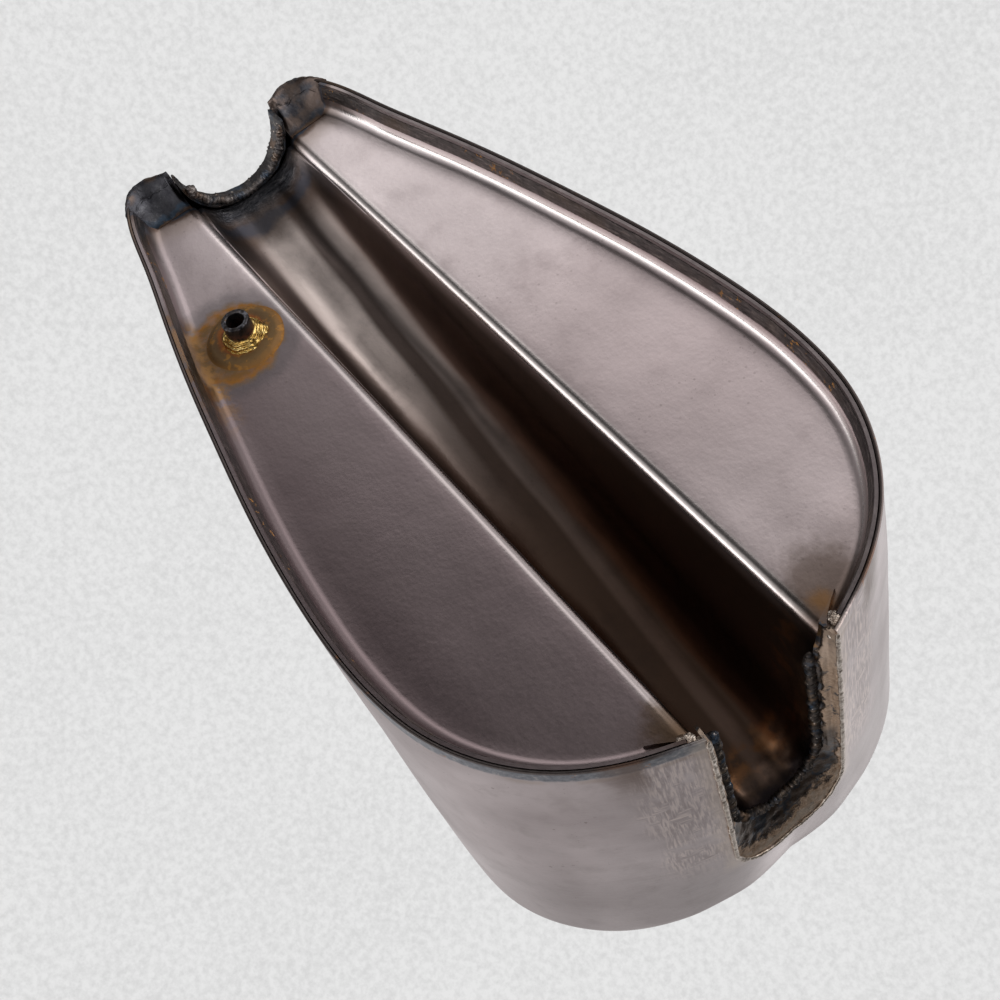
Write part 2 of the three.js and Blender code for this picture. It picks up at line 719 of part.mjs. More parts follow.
// Sheet strip from the tunnel's front end to the mouth cut.
function mouthStrip() {
  const lowZ = 4;
  const rear = tunnelEdge({
    half: TUNNEL_HALF_FRONT + 0.3, height: ARCH_FRONT, top: TUNNEL_ROOF_FRONT + 0.2, lowZ,
  }).map(([y, z]) => vec(TUNNEL_X1 + 1.5, y, z));
  const front = skinEdge({ inset: 1.6, lowZ })
    .map(([y, z]) => vec(skinFrontX(y, z) - 1.3, y, z));
  const middle = rear.map((p, i) => {
    const point = p.clone().lerp(front[i], 0.5);
    point.x -= 0.6;
    return point;
  });
  const inner = [rear, middle, front];
  const normals = gridNormals(inner);
  const outer = inner.map((row, i) => row.map((p, j) => {
    const axis = vec(p.x, 0, Math.min(p.z, TUNNEL_ROOF_FRONT - ARCH_FRONT));
    const normal = normals[i][j];
    if (normal.dot(p.clone().sub(axis)) < 0) normal.negate();
    return p.clone().addScaledVector(normal, SHEET);
  }));
  return sheet(inner, outer);
}

// Weld along a path round the mouth; half sizes in the plane of the mouth and across it.
function pathWeld(points, { halfU, halfW, pace }) {
  return bead(points.map((centre, i) => {
    const next = points[Math.min(i + 1, points.length - 1)];
    const tangent = next.clone().sub(points[Math.max(i - 1, 0)]).normalize();
    const u = tangent.clone().cross(X_AXIS).normalize();
    const w = u.clone().cross(tangent).normalize();
    const wave = wobble(i * 0.7 * pace);
    return { centre, u, w, halfU: halfU * (1 + 0.2 * wave), halfW: halfW * (1 + 0.1 * wave) };
  }));
}

function mouthWeld() {
  const path = skinEdge({ inset: 0.2, lowZ: 6 })
    .map(([y, z]) => vec(skinFrontX(y, z) + 1.1, y, z));
  return pathWeld(path, { halfU: 1.6, halfW: 0.65, pace: 1.1 });
}

function tunnelMouthWeld() {
  const inset = 1.75;
  const path = tunnelEdge({
    half: TUNNEL_HALF_FRONT - inset,
    height: ARCH_FRONT - inset,
    top: TUNNEL_ROOF_FRONT - inset,
    lowZ: 24,
  }).map(([y, z]) => vec(TUNNEL_X1 + 0.4, y, z));
  return pathWeld(path, { halfU: 1.1, halfW: 1.2, pace: 1.6 });
}

// Lumpy ellipsoid at a lower corner of the mouth.
function mouthCornerWeld(side, phase) {
  const centre = vec(423.1, side * 34.6, 5.2);
  const radii = vec(1.8, 1.6, 4.2);
  const geometry = tidy(new THREE.IcosahedronGeometry(1, 2));
  const position = geometry.attributes.position;
  for (let i = 0; i < position.count; i++) {
    const p = vec(0, 0, 0).fromBufferAttribute(position, i);
    const scale = 1 + 0.06 * Math.sin(5 * p.x + phase) + 0.05 * Math.sin(7 * p.z + 2 * phase);
    p.multiply(radii).multiplyScalar(scale).add(centre);
    position.setXYZ(i, p.x, p.y, p.z);
  }
  return geometry;
}

// ---------------------------------------------------------------- outlet
const BOSS_R = 19.5;       // reinforcing disc
const BOSS_T = 1.6;
const NIPPLE_BORE = 4.6;   // bore radius
const DISC_TOP = FLOOR_Z - GAP;
const DISC_LOW = DISC_TOP - BOSS_T;
const BRAZE_TOP = DISC_LOW - GAP;
// Section of the braze: [beyond the nipple's radius, z below the disc]
const BRAZE_SECTION = [[GAP, 0], [GAP, -3.8], [1.1, -3.0], [2.3, -1.6], [3.1, -0.6], [3.3, 0]];

const outletDisc = () => turned([
  [NIPPLE_R + GAP, DISC_TOP], [NIPPLE_R + GAP, DISC_LOW], [BOSS_R - 1.2, DISC_LOW],
  [BOSS_R, DISC_LOW + 1.1], [BOSS_R, DISC_TOP],
], 44, OUTLET);

const outletNipple = () => flatRing({
  inner: NIPPLE_BORE, outer: NIPPLE_R, low: 1, high: 22, segments: 32, centre: OUTLET,
});

const outletBraze = () => (
  turned(BRAZE_SECTION.map(([r, z]) => [NIPPLE_R + r, BRAZE_TOP + z]), 32, OUTLET)
);

// ---------------------------------------------------------------- filler neck
const THREAD_PITCH = 5;
const NECK_THREAD_R = 24.6; // crest of the neck's thread

// Helical ridge round the neck's axis; profile gives [radius, z] corners.
function thread(profile, turns, lowZ) {
  const perTurn = 30;
  return sweep(range(Math.round(turns * perTurn) + 1, (i) => {
    const angle = (2 * Math.PI * i) / perTurn;
    const z = lowZ + (THREAD_PITCH * i) / perTurn;
    return profile.map(([radius, dz]) => (
      vec(NECK[0] + radius * Math.cos(angle), NECK[1] + radius * Math.sin(angle), z + dz)
    ));
  }));
}

function fillerNeck() {
  const tube = turned([
    [NECK_BORE, NECK_LOW], [NECK_R, NECK_LOW], [NECK_R, NECK_HIGH - 1],
    [NECK_R - 1, NECK_HIGH], [NECK_BORE, NECK_HIGH],
  ], 48, NECK);
  const root = NECK_BORE + 0.6; // buried in the tube
  const ridge = [[root, -1.1], [root, 1.1], [NECK_THREAD_R, 0.45], [NECK_THREAD_R, -0.45]];
  return fromSolid(toSolid(tube).add(toSolid(thread(ridge, 2.4, NECK_LOW + 3.5))));
}

function fillerNeckWeld() {
  const steps = 40;
  const radius = NECK_R + 2;
  return bead(range(steps, (i) => {
    const angle = (2 * Math.PI * i) / steps;
    const u = vec(Math.cos(angle), Math.sin(angle), 0);
    const scale = 1 + 0.1 * Math.sin(13 * angle);
    const centre = vec(NECK[0] + radius * u.x, NECK[1] + radius * u.y, CROWN_H + 2);
    return { centre, u, w: Z_AXIS, halfU: 1.4 * scale, halfW: 1.5 * scale };
  }), { loop: true });
}

// ---------------------------------------------------------------- screw cap
const PLUG_R = 23.7;        // root of the cap's thread
const PLUG_THREAD_R = 25.3; // crest of the cap's thread
const PLUG_BORE = 20;       // hollow of the plug
const VENT_R = 2.6;         // hole for the vent valve
const PLUG_FLANGE_R = 31;
const PLUG_FLANGE_T = 2.4;
const PLUG_ROOF = 3;        // the plug's hollow ends this far below its flange
const GASKET_T = 2.2;
const WASHER_T = 0.9;
const CAP_R = 37;
const CAP_INNER_R = 35.4;
const FLUTES = 16;
const FLUTE_DEPTH = 0.8;

// Heights of the stack on the neck
const GASKET_LOW = NECK_HIGH + GAP;
const WASHER_LOW = GASKET_LOW + GASKET_T + GAP;
const PLUG_FLANGE_LOW = WASHER_LOW + WASHER_T + GAP;
const VALVE_HEAD_LOW = PLUG_FLANGE_LOW + PLUG_FLANGE_T + GAP;
const COVER_INNER_TOP = VALVE_HEAD_LOW + 2.2;
const SKIRT_LOW = NECK_HIGH - 5.2;

function capPlug() {
  const low = NECK_LOW + 4;
  const roof = PLUG_FLANGE_LOW - PLUG_ROOF;
  const flangeTop = PLUG_FLANGE_LOW + PLUG_FLANGE_T;
  const body = turned([
    [VENT_R, roof], [PLUG_BORE, roof], [PLUG_BORE, low], [PLUG_R, low],
    [PLUG_R, PLUG_FLANGE_LOW], [PLUG_FLANGE_R, PLUG_FLANGE_LOW],
    [PLUG_FLANGE_R, flangeTop], [VENT_R, flangeTop],
  ], 48, NECK);
  const root = PLUG_R - 0.5; // buried in the plug
  const ridge = [[root, -1.0], [PLUG_THREAD_R, -0.42], [PLUG_THREAD_R, 0.42], [root, 1.0]];
  return fromSolid(toSolid(body).add(toSolid(thread(ridge, 2, NECK_LOW + 6))));
}

const capRing = (outer, low, thickness) => flatRing({
  inner: PLUG_R + 0.5, outer, low, high: low + thickness, segments: 40, centre: NECK,
});

function capVentValve() {
  const low = PLUG_FLANGE_LOW - 4.6;
  const lipTop = PLUG_FLANGE_LOW - PLUG_ROOF - GAP;
  return turned([
    [0, low], [3.4, low], [3.4, lipTop], [2.1, lipTop], [2.1, VALVE_HEAD_LOW],
    [7.5, VALVE_HEAD_LOW], [7.3, VALVE_HEAD_LOW + 0.8], [0, VALVE_HEAD_LOW + 1.5],
  ], 24, NECK);
}

function capCover() {
  const top = COVER_INNER_TOP;
  const cover = turned([
    [0, top], [28, top], [31.6, top - 0.8], [34.2, top - 2.6], [CAP_INNER_R, top - 5.4],
    [CAP_INNER_R, SKIRT_LOW], [CAP_R, SKIRT_LOW], [CAP_R, top - 4.6], [36.2, top - 1.4],
    [33.8, top + 1.1], [29.5, top + 2.9], [20, top + 5.2], [10, top + 6.6], [0, top + 7.1],
  ], 64, NECK);
  // Grip flutes, pressed into the widest part of the skirt
  const position = cover.attributes.position;
  for (let i = 0; i < position.count; i++) {
    const dx = position.getX(i) - NECK[0];
    const dy = position.getY(i) - NECK[1];
    const radius = Math.hypot(dx, dy);
    if (radius > CAP_R - 0.05) {
      const depth = FLUTE_DEPTH * (0.5 + 0.5 * Math.cos(FLUTES * Math.atan2(dy, dx)));
      const scale = (radius - depth) / radius;
      position.setXY(i, NECK[0] + dx * scale, NECK[1] + dy * scale);
    }
  }
  return cover;
}

// ---------------------------------------------------------------- assembly
const group = new THREE.Group();
group.name = 'fuel_tank';

function add(name, geometry, finish) {
  const placed = outward(geometry);
  placed.translate(-ORIGIN[0], -ORIGIN[1], -ORIGIN[2]);
  placed.computeVertexNormals();
  const mesh = new THREE.Mesh(placed, new THREE.MeshStandardMaterial(finish));
  mesh.name = name;
  group.add(mesh);
}

// Finishes that several pieces share
const SEAM = { color: 0x3c3a3e, roughness: 0.55, metalness: 0.9 };
const TAIL_BEAD = { color: 0x4a4644, roughness: 0.5, metalness: 0.9 };
const TAIL_FILL = { color: 0x3f4148, roughness: 0.55, metalness: 0.9 };
const CORNER = { color: 0xb2a79a, roughness: 0.4, metalness: 0.95 };

add('outer_skin', outerSkin(), { color: 0x8d8484, roughness: 0.38, metalness: 1 });
add('bottom_pan', bottomPan(), { color: 0x7d7272, roughness: 0.36, metalness: 1 });
add('seam_weld_left', seamWeld(1), SEAM);
add('seam_weld_right', seamWeld(-1), SEAM);
add('tail_saddle', saddleStrip(), { color: 0x38373b, roughness: 0.6, metalness: 0.85 });
add('tail_saddle_weld', tailSaddleWeld(), TAIL_BEAD);
add('tail_notch_weld', tailNotchWeld(), TAIL_BEAD);
add('tail_weld_left', tailWeld(1), TAIL_FILL);
add('tail_weld_right', tailWeld(-1), TAIL_FILL);
add('mouth_strip', mouthStrip(), { color: 0x8b7a5e, roughness: 0.6, metalness: 0.8 });
add('mouth_weld', mouthWeld(), { color: 0x8f8172, roughness: 0.5, metalness: 0.9 });
add('tunnel_mouth_weld', tunnelMouthWeld(), { color: 0x2f2a28, roughness: 0.55, metalness: 0.9 });
add('mouth_corner_weld_left', mouthCornerWeld(1, 1), CORNER);
add('mouth_corner_weld_right', mouthCornerWeld(-1, 2), CORNER);
add('outlet_disc', outletDisc(), { color: 0x6b4a32, roughness: 0.7, metalness: 0.7 });
add('outlet_nipple', outletNipple(), { color: 0x2c2a2c, roughness: 0.5, metalness: 0.9 });
add('outlet_braze', outletBraze(), { color: 0xb08d3a, roughness: 0.3, metalness: 1 });
add('filler_neck', fillerNeck(), { color: 0x8d8484, roughness: 0.4, metalness: 1 });
add('filler_neck_weld', fillerNeckWeld(), { color: 0x6b625c, roughness: 0.45, metalness: 0.95 });
add('cap_cover', capCover(), { color: 0xc9ccd0, roughness: 0.12, metalness: 1 });
add('cap_plug', capPlug(), { color: 0xa8abb0, roughness: 0.4, metalness: 1 });
add('cap_vent_valve', capVentValve(), { color: 0x1c1c1c, roughness: 0.9, metalness: 0 });
add('cap_gasket', capRing(NECK_R - 0.6, GASKET_LOW, GASKET_T), {
  color: 0x1f1d1b, roughness: 0.85, metalness: 0,
});
add('cap_washer', capRing(NECK_R - 0.2, WASHER_LOW, WASHER_T), {
  color: 0xb9bcc2, roughness: 0.3, metalness: 1,
});

export default group;
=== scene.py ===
"""A pressed steel fuel tank with a capped filler neck on its crown.

Sizes are in tank millimetres: x runs from the tail (0) to the front (432), +y is left,
z is up from the rim (0). The underside is open: a pan with a lengthwise tunnel closes it,
and the camera looks up at it from the front and the left.
"""

import math
from functools import cache, cached_property

import bpy
import bmesh
import numpy as np
from mathutils import Matrix, Vector, noise


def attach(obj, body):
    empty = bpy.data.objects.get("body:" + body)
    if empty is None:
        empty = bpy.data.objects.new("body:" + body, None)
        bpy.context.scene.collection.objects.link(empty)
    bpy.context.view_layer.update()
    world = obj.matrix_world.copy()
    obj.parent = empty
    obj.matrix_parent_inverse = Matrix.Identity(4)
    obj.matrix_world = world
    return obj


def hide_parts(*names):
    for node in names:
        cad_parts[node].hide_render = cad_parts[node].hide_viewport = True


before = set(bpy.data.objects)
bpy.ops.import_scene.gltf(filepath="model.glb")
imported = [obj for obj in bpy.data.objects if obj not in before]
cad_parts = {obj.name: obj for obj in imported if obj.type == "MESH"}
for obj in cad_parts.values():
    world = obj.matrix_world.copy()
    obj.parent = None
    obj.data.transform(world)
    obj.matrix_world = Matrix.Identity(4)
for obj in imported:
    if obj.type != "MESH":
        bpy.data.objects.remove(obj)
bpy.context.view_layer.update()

# ---------------------------------------------------------------- sizes (mm)
ORIGIN = np.array([215.5, 0.0, 124.6])      # the frame's origin
SHEET, GAP = 1.5, 0.35                      # sheet thickness, clearance between pieces
# left half of the rim seen from above, tail to front: x, y
RIM_POINTS = np.array([
    (11.1, 0), (10.9, 13.1), (8.7, 26.4), (4.2, 37), (1.2, 44.6), (1.9, 51.3),
    (6.2, 57), (12.8, 61.2), (20.9, 64.7), (39.5, 70), (58.1, 74.1), (89.1, 82),
    (133, 92.7), (179.2, 102), (225, 110.2), (271.4, 115.8), (302.6, 117.4), (318.1, 117),
    (333.5, 115.5), (348.5, 112.7), (363.4, 107.7), (377.4, 100.5), (390.3, 91.4),
    (401.5, 80.6), (410.8, 68.3), (418.4, 54.9), (424.5, 40.6), (428.7, 29.2),
    (431.2, 14.9), (432, 0)], float)
# how far the wall bulges past the rim: length along the rim, bulge
SWELL_POINTS = np.array([(0, 0), (50, 0), (110, 1.4), (220, 1.2), (310, 1.2), (370, 3.6),
                         (410, 7.0), (450, 4.3), (561, -10)], float)
# outer skin
CROWN_H, CROWN_DROP, TAIL_H = 222.0, 12.0, 70.0
CROWN_FLAT, CROWN_RISE = (245.0, 285.0), 1.75     # level stretch in x; power of the climb to it
SPINE = (42.0, 326.0)                             # x range of the ridge line
WALL_FRONT, WALL_REAR = 200.0, 30.0               # wall heights
WALL_SHARE = 0.32                                 # share of the grid levels on the wall
DOME_POWER = 3.1                                  # superellipse power of the dome
# bottom pan
FLOOR_Z, FLANGE_R, LEAN = 15.0, 6.0, 2.4          # floor height, flange radius, flange lean
RIDGE_Y, RIDGE_R = 31.0, 5.0                      # bend from tunnel wall to floor
FLANGE_INSET = 2 * SHEET + GAP
# tunnel, rear and front values
TUNNEL_X = (20.0, 419.0)
ROOF, TUNNEL_HALF, ARCH_H = (31.0, 135.0), (32.0, 25.7), (31.0, 32.0)
ROOF_FLAT, ARCH_POWER = 8.0, 2.3
# tail notch and saddle
NOTCH_R, SADDLE_R, SADDLE_T, SADDLE_FRONT = 33.0, 30.0, 2.0, 19.2
# front mouth
MOUTH_HALF, MOUTH_TOP, MOUTH_R = 31.4, 160.0, 25.0
# outlet pipe
OUTLET = (120.2, 57.1)
PIPE_R, PIPE_BORE, PIPE_LOW, PIPE_HIGH = 6.85, 4.6, 1.0, 22.0
DISC_FACE = FLOOR_Z - 1.9
# filler neck and cap
NECK, NECK_R, NECK_BORE = (265.0, 0.0), 30.0, 26.0
NECK_LOW, NECK_HIGH = CROWN_H - 15, CROWN_H + 11
CAP_SEAT = NECK_HIGH + GAP
PLUG_FLANGE = CAP_SEAT + 2.2 + 0.9 + 2 * GAP
VENT_TOP = PLUG_FLANGE + 2.4 + GAP
COVER_TOP, COVER_LOW = VENT_TOP + 2.2, NECK_HIGH - 5.2


# ---------------------------------------------------------------- curves
def lerp(a, b, t):
    return a + (b - a) * t


def clamp(t):
    return np.clip(t, 0.0, 1.0)


def ease(t):
    t = float(clamp(t))
    return t * t * (3 - 2 * t)


def noise_at(x, y, z):
    return noise.noise(Vector((x, y, z)))


def spline(knots, values):
    """Natural cubic spline; the result gives value and slope."""
    last = len(knots) - 1
    span = np.diff(knots)
    system = np.zeros((last + 1, last + 1))
    target = np.zeros(last + 1)
    system[0, 0] = system[last, last] = 1
    for i in range(1, last):
        system[i, i - 1:i + 2] = span[i - 1], 2 * (span[i - 1] + span[i]), span[i]
        target[i] = 3 * ((values[i + 1] - values[i]) / span[i]
                         - (values[i] - values[i - 1]) / span[i - 1])
    square = np.linalg.solve(system, target)
    linear = (values[1:] - values[:-1]) / span - span * (square[1:] + 2 * square[:-1]) / 3
    cubic = (square[1:] - square[:-1]) / (3 * span)

    def at(x):
        i = np.clip(np.searchsorted(knots, x, side="right") - 1, 0, last - 1)
        t = x - knots[i]
        return (values[i] + t * (linear[i] + t * (square[i] + t * cubic[i])),
                linear[i] + t * (2 * square[i] + 3 * t * cubic[i]))
    return at


chords = np.r_[0, np.cumsum(np.hypot(*np.diff(RIM_POINTS, axis=0).T))]
rim_x, rim_y = (spline(chords, RIM_POINTS[:, k]) for k in (0, 1))
RIM_LENGTH = float(chords[-1])
swell_curve = spline(*SWELL_POINTS.T)


def rim(s):
    """Point and outward normal of the left rim at length s from the tail."""
    s = np.asarray(s, float)
    x, dx = rim_x(s)
    y, dy = rim_y(s)
    length = np.hypot(dx, dy)
    return x, y, -dy / length, dx / length


def rim_floats(s):
    return tuple(float(v) for v in rim(s))


def bisect(rising, low, high):
    for _ in range(60):
        middle = (low + high) / 2
        if rising(middle) > 0:
            high = middle
        else:
            low = middle
    return (low + high) / 2


def rear_rim(y):
    """Length along the rim where the tail end passes y."""
    return bisect(lambda s: float(rim(s)[1]) - abs(y), 0, 50)


def front_rim(y):
    return bisect(lambda s: abs(y) - float(rim(s)[1]), RIM_LENGTH - 60, RIM_LENGTH)


def rear_rim_x(y):
    return float(rim(rear_rim(y))[0])


PAN_START = bisect(lambda s: rim(s)[0] - 15, 40, 70)
PAN_END = front_rim(38)


# ---------------------------------------------------------------- mesh helpers
def new_object(name, data):
    piece = bpy.data.objects.new(name, data)
    bpy.context.scene.collection.objects.link(piece)
    return piece


def shade(piece, angle):
    mesh = piece.data
    mesh.polygons.foreach_set("use_smooth", [True] * len(mesh.polygons))
    mesh.set_sharp_from_angle(angle=math.radians(angle))
    mesh.update()


def mesh_object(name, verts, faces, angle):
    """Object from tank-mm vertices; angle None leaves it unshaded."""
    mesh = bpy.data.meshes.new(name)
    mesh.from_pydata(((np.asarray(verts, float) - ORIGIN) / 1000.0).tolist(), [], faces)
    work = bmesh.new()
    work.from_mesh(mesh)
    bmesh.ops.remove_doubles(work, verts=work.verts, dist=1e-7)
    bmesh.ops.dissolve_degenerate(work, edges=work.edges, dist=1e-8)
    bmesh.ops.recalc_face_normals(work, faces=work.faces)
    work.to_mesh(mesh)
    work.free()
    piece = new_object(name, mesh)
    if angle is not None:
        shade(piece, angle)
    return piece


def sheet(name, front, back, angle):
    """Closed plate between two point grids of the same shape."""
    rows, cols = front.shape[:2]
    count = rows * cols
    faces = []
    for start, turn in ((0, 1), (count, -1)):
        for i in range(rows - 1):
            for j in range(cols - 1):
                a = start + i * cols + j
                faces.append((a, a + 1, a + cols + 1, a + cols)[::turn])
    for j in range(cols - 1):
        a = (rows - 1) * cols + j
        faces.append((j, count + j, count + j + 1, j + 1))
        faces.append((a + 1, count + a + 1, count + a, a))
    for i in range(rows - 1):
        a = i * cols
        b = a + cols - 1
        faces.append((a + cols, count + a + cols, count + a, a))
        faces.append((b, count + b, count + b + cols, b + cols))
    return mesh_object(name, np.vstack([front.reshape(-1, 3), back.reshape(-1, 3)]), faces, angle)


def grid_normals(grid):
    normal = np.cross(np.gradient(grid, axis=0), np.gradient(grid, axis=1))
    return normal / (np.linalg.norm(normal, axis=2, keepdims=True) + 1e-12)


def tube(name, sections, angle=40.0):
    """Capped tube through a row of closed polygons."""
    points = np.asarray(sections, float)
    rows, sides = points.shape[:2]
    faces = []
    for i in range(rows - 1):
        a, b = i * sides, (i + 1) * sides
        for j in range(sides):
            k = (j + 1) % sides
            faces.append((a + j, a + k, b + k, b + j))
    faces.append(tuple(range(sides))[::-1])
    faces.append(tuple((rows - 1) * sides + k for k in range(sides)))
    return mesh_object(name, points.reshape(-1, 3), faces, angle)


def turned(name, profile, segments, centre, angle=35.0, radial=lambda r, z, turn: r):
    """Spin an (r, z) profile; one that starts off the axis is closed on itself."""
    verts, rows = [], []
    for r, z in profile:
        count = segments if r > 1e-6 else 1
        rows.append(range(len(verts), len(verts) + count))
        for i in range(count):
            turn = 2 * math.pi * i / segments
            radius = radial(r, z, turn)
            verts.append((centre[0] + radius * math.cos(turn),
                          centre[1] + radius * math.sin(turn), z))
    if profile[0][0] > 1e-6:
        rows.append(rows[0])
    faces = []
    for a, b in zip(rows[:-1], rows[1:]):
        for k in range(segments):
            after = (k + 1) % segments
            if len(a) == 1:
                faces.append((a[0], b[after], b[k]))
            elif len(b) == 1:
                faces.append((a[k], a[after], b[0]))
            else:
                faces.append((a[k], a[after], b[after], b[k]))
    return mesh_object(name, verts, faces, angle)


def round_cutter(centre, radius, low, high, segments):
    return turned("cutter", [(0, low), (radius, low), (radius, high), (0, high)],
                  segments, centre)


def cut(piece, cutter):
    modifier = piece.modifiers.new("cut", "BOOLEAN")
    modifier.operation, modifier.solver, modifier.object = "DIFFERENCE", "EXACT", cutter
    bpy.context.view_layer.update()
    depsgraph = bpy.context.evaluated_depsgraph_get()
    mesh = bpy.data.meshes.new_from_object(piece.evaluated_get(depsgraph))
    piece.modifiers.clear()
    uncut = piece.data
    piece.data = mesh
    bpy.data.meshes.remove(uncut)
    bpy.data.objects.remove(cutter)


def round_corners(points, radius, steps):
    """Round the corners of a closed (r, z) profile."""
    rounded = []
    for i in range(len(points)):
        before, corner, after = (np.array(points[(i + k) % len(points)], float)
                                 for k in (-1, 0, 1))
        a, b = before - corner, after - corner
        length_a, length_b = np.linalg.norm(a), np.linalg.norm(b)
        reach = min(radius, length_a * 0.45, length_b * 0.45)
        start, end = corner + a / length_a * reach, corner + b / length_b * reach
        for k in range(steps + 1):
            t = k / steps
            rounded.append(tuple((1 - t) ** 2 * start + 2 * t * (1 - t) * corner + t ** 2 * end))
    return rounded


def join(name, pieces):
    verts, faces = [], []
    for piece in pieces:
        start, mesh = len(verts), piece.data
        verts += [tuple(v.co) for v in mesh.vertices]
        faces += [tuple(start + i for i in p.vertices) for p in mesh.polygons]
        bpy.data.objects.remove(piece)
        bpy.data.meshes.remove(mesh)
    mesh = bpy.data.meshes.new(name)
    mesh.from_pydata(verts, [], faces)
    joined = new_object(name, mesh)
    shade(joined, 75)
    return joined


def blob(centre, radii, seed):
    """Lumpy ellipsoid."""
    work = bmesh.new()
    bmesh.ops.create_icosphere(work, subdivisions=5, radius=1.0)
    for v in work.verts:
        way = v.co.normalized()
        base = way * 1.6
        size = (1 + 0.22 * noise.noise(base + Vector((seed, 0, 0)))
                + 0.12 * noise.noise(base * 3.2 + Vector((0, seed, 0)))
                + 0.05 * noise.noise(base * 9))
        v.co = Vector([c + r * w * size for c, r, w in zip(centre, radii, way)]) - Vector(ORIGIN)
        v.co /= 1000
    mesh = bpy.data.meshes.new("blob")
    work.to_mesh(mesh)
    work.free()
    return new_object("blob", mesh)


def unit(rows):
    return rows / (np.linalg.norm(rows, axis=1, keepdims=True) + 1e-12)


def weld(name, path, half_side, half_up, seed, amp, wander,
         ripple=2.4, up=(1, 0, 0), taper=4.0):
    """Uneven bead with stacked ripples. amp and ripple are the ripples' height and
    pitch, wander is the drift off the path, taper the length of its ends (0: none)."""
    sides = 14
    path = np.asarray(path, float)
    run = np.r_[0, np.cumsum(np.linalg.norm(np.diff(path, axis=0), axis=1))]
    lengths = np.linspace(0, run[-1], max(4, int(run[-1] / (0.7))))
    points = np.stack([np.interp(lengths, run, path[:, k]) for k in range(3)], 1)
    along = unit(np.gradient(points, axis=0))
    side = unit(np.cross(along, np.array(up, float)))
    rise = np.cross(side, along)
    total = lengths[-1]
    sections = []
    for point, q, to_side, to_rise in zip(points, lengths, side, rise):
        end = min(1.0, min(q, total - q) / taper + 0.25) if taper else 1.0
        wave = 2 * math.pi * q / ripple + 2.2 * noise_at(q / 8, seed, 0)
        swell = (1 + amp * math.sin(wave) + 0.45 * noise_at(q / 6.5, seed, 4)) * end ** 0.5
        drift_side = wander * noise_at(q / 5.0, seed, 9)
        drift_up = wander * 0.7 * noise_at(q / 4.2, seed, 13)
        ring = []
        for k in range(sides):
            turn = 2 * math.pi * k / sides
            c, s = math.cos(turn), math.sin(turn)
            grain = 1 + 0.16 * noise_at(q / 1.7, 1.9 * c + seed, 1.9 * s)
            ring.append(point + to_side * (half_side * swell * grain * c + drift_side)
                        + to_rise * (half_up * swell * grain * s + drift_up))
        sections.append(ring)
    return tube(name, sections, angle=75)


# ---------------------------------------------------------------- shader graphs
class Field:
    """A shader value. + - * / on it make math nodes."""

    def __init__(self, graph, socket):
        self.graph, self.socket = graph, socket

    def __add__(self, other):
        return self.graph.math("ADD", self, other)

    def __sub__(self, other):
        return self.graph.math("SUBTRACT", self, other)

    def __rsub__(self, other):
        return self.graph.math("SUBTRACT", other, self)

    def __mul__(self, other):
        return self.graph.math("MULTIPLY", self, other)

    def __truediv__(self, other):
        return self.graph.math("DIVIDE", self, other)

    def step(self, start, end):
        """Smooth change from 0 at start to 1 at end; it falls with the value if end < start."""
        return self.graph.node("ShaderNodeMapRange", {
            "Value": self, "From Min": min(start, end), "From Max": max(start, end),
            "To Min": float(start > end), "To Max": float(start < end)},
            out="Result", interpolation_type="SMOOTHSTEP")

    def band(self, start, full, fade, end):
        """1 between full and fade, 0 outside start and end."""
        return self.step(start, full) * self.step(end, fade)


def mix(mask, base, other):
    """Colour: base where mask is 0, other where it is 1."""
    return mask.graph.node("ShaderNodeMix", {"Factor": mask, 6: base, 7: other},
                           out=2, data_type="RGBA", clamp_factor=True)


def level(mask, base, other):
    """Number: base where mask is 0, other where it is 1."""
    return mask.graph.node("ShaderNodeMix", {"Factor": mask, 2: base, 3: other},
                           out=0, data_type="FLOAT", clamp_factor=True)


class Graph:
    def __init__(self, owner):
        owner.use_nodes = True
        self.tree = owner.node_tree
        self.tree.nodes.clear()

    def put(self, socket, value):
        if isinstance(value, Field):
            self.tree.links.new(value.socket, socket)
        elif isinstance(value, tuple) and len(value) == 3 and len(socket.default_value) == 4:
            socket.default_value = (*value, 1)
        else:
            socket.default_value = value

    def node(self, kind, inputs, out=0, **settings):
        """Make a node, fill its inputs and return one of its outputs."""
        made = self.tree.nodes.new(kind)
        for key, value in settings.items():
            setattr(made, key, value)
        for key, value in inputs.items():
            self.put(made.inputs[key], value)
        return Field(self, made.outputs[out])

    def math(self, operation, *values):
        return self.node("ShaderNodeMath", dict(enumerate(values)), operation=operation)

    def vector_math(self, operation, a, b):
        out = "Value" if operation in ("DISTANCE", "DOT_PRODUCT") else 0
        return self.node("ShaderNodeVectorMath", {0: a, 1: b}, out, operation=operation)

    def ramp(self, value, stops, interpolation="EASE"):
        """Colour by value; stops are (position, colour)."""
        made = self.node("ShaderNodeValToRGB", {0: value})
        ramp = made.socket.node.color_ramp
        ramp.interpolation = interpolation
        while len(ramp.elements) < len(stops):
            ramp.elements.new(0.5)
        for element, (position, colour) in zip(ramp.elements, stops):
            element.position = position
            element.color = (*colour, 1)
        return made

    def finish(self, kind, shader):
        self.put(self.tree.nodes.new(kind).inputs["Surface"], shader)


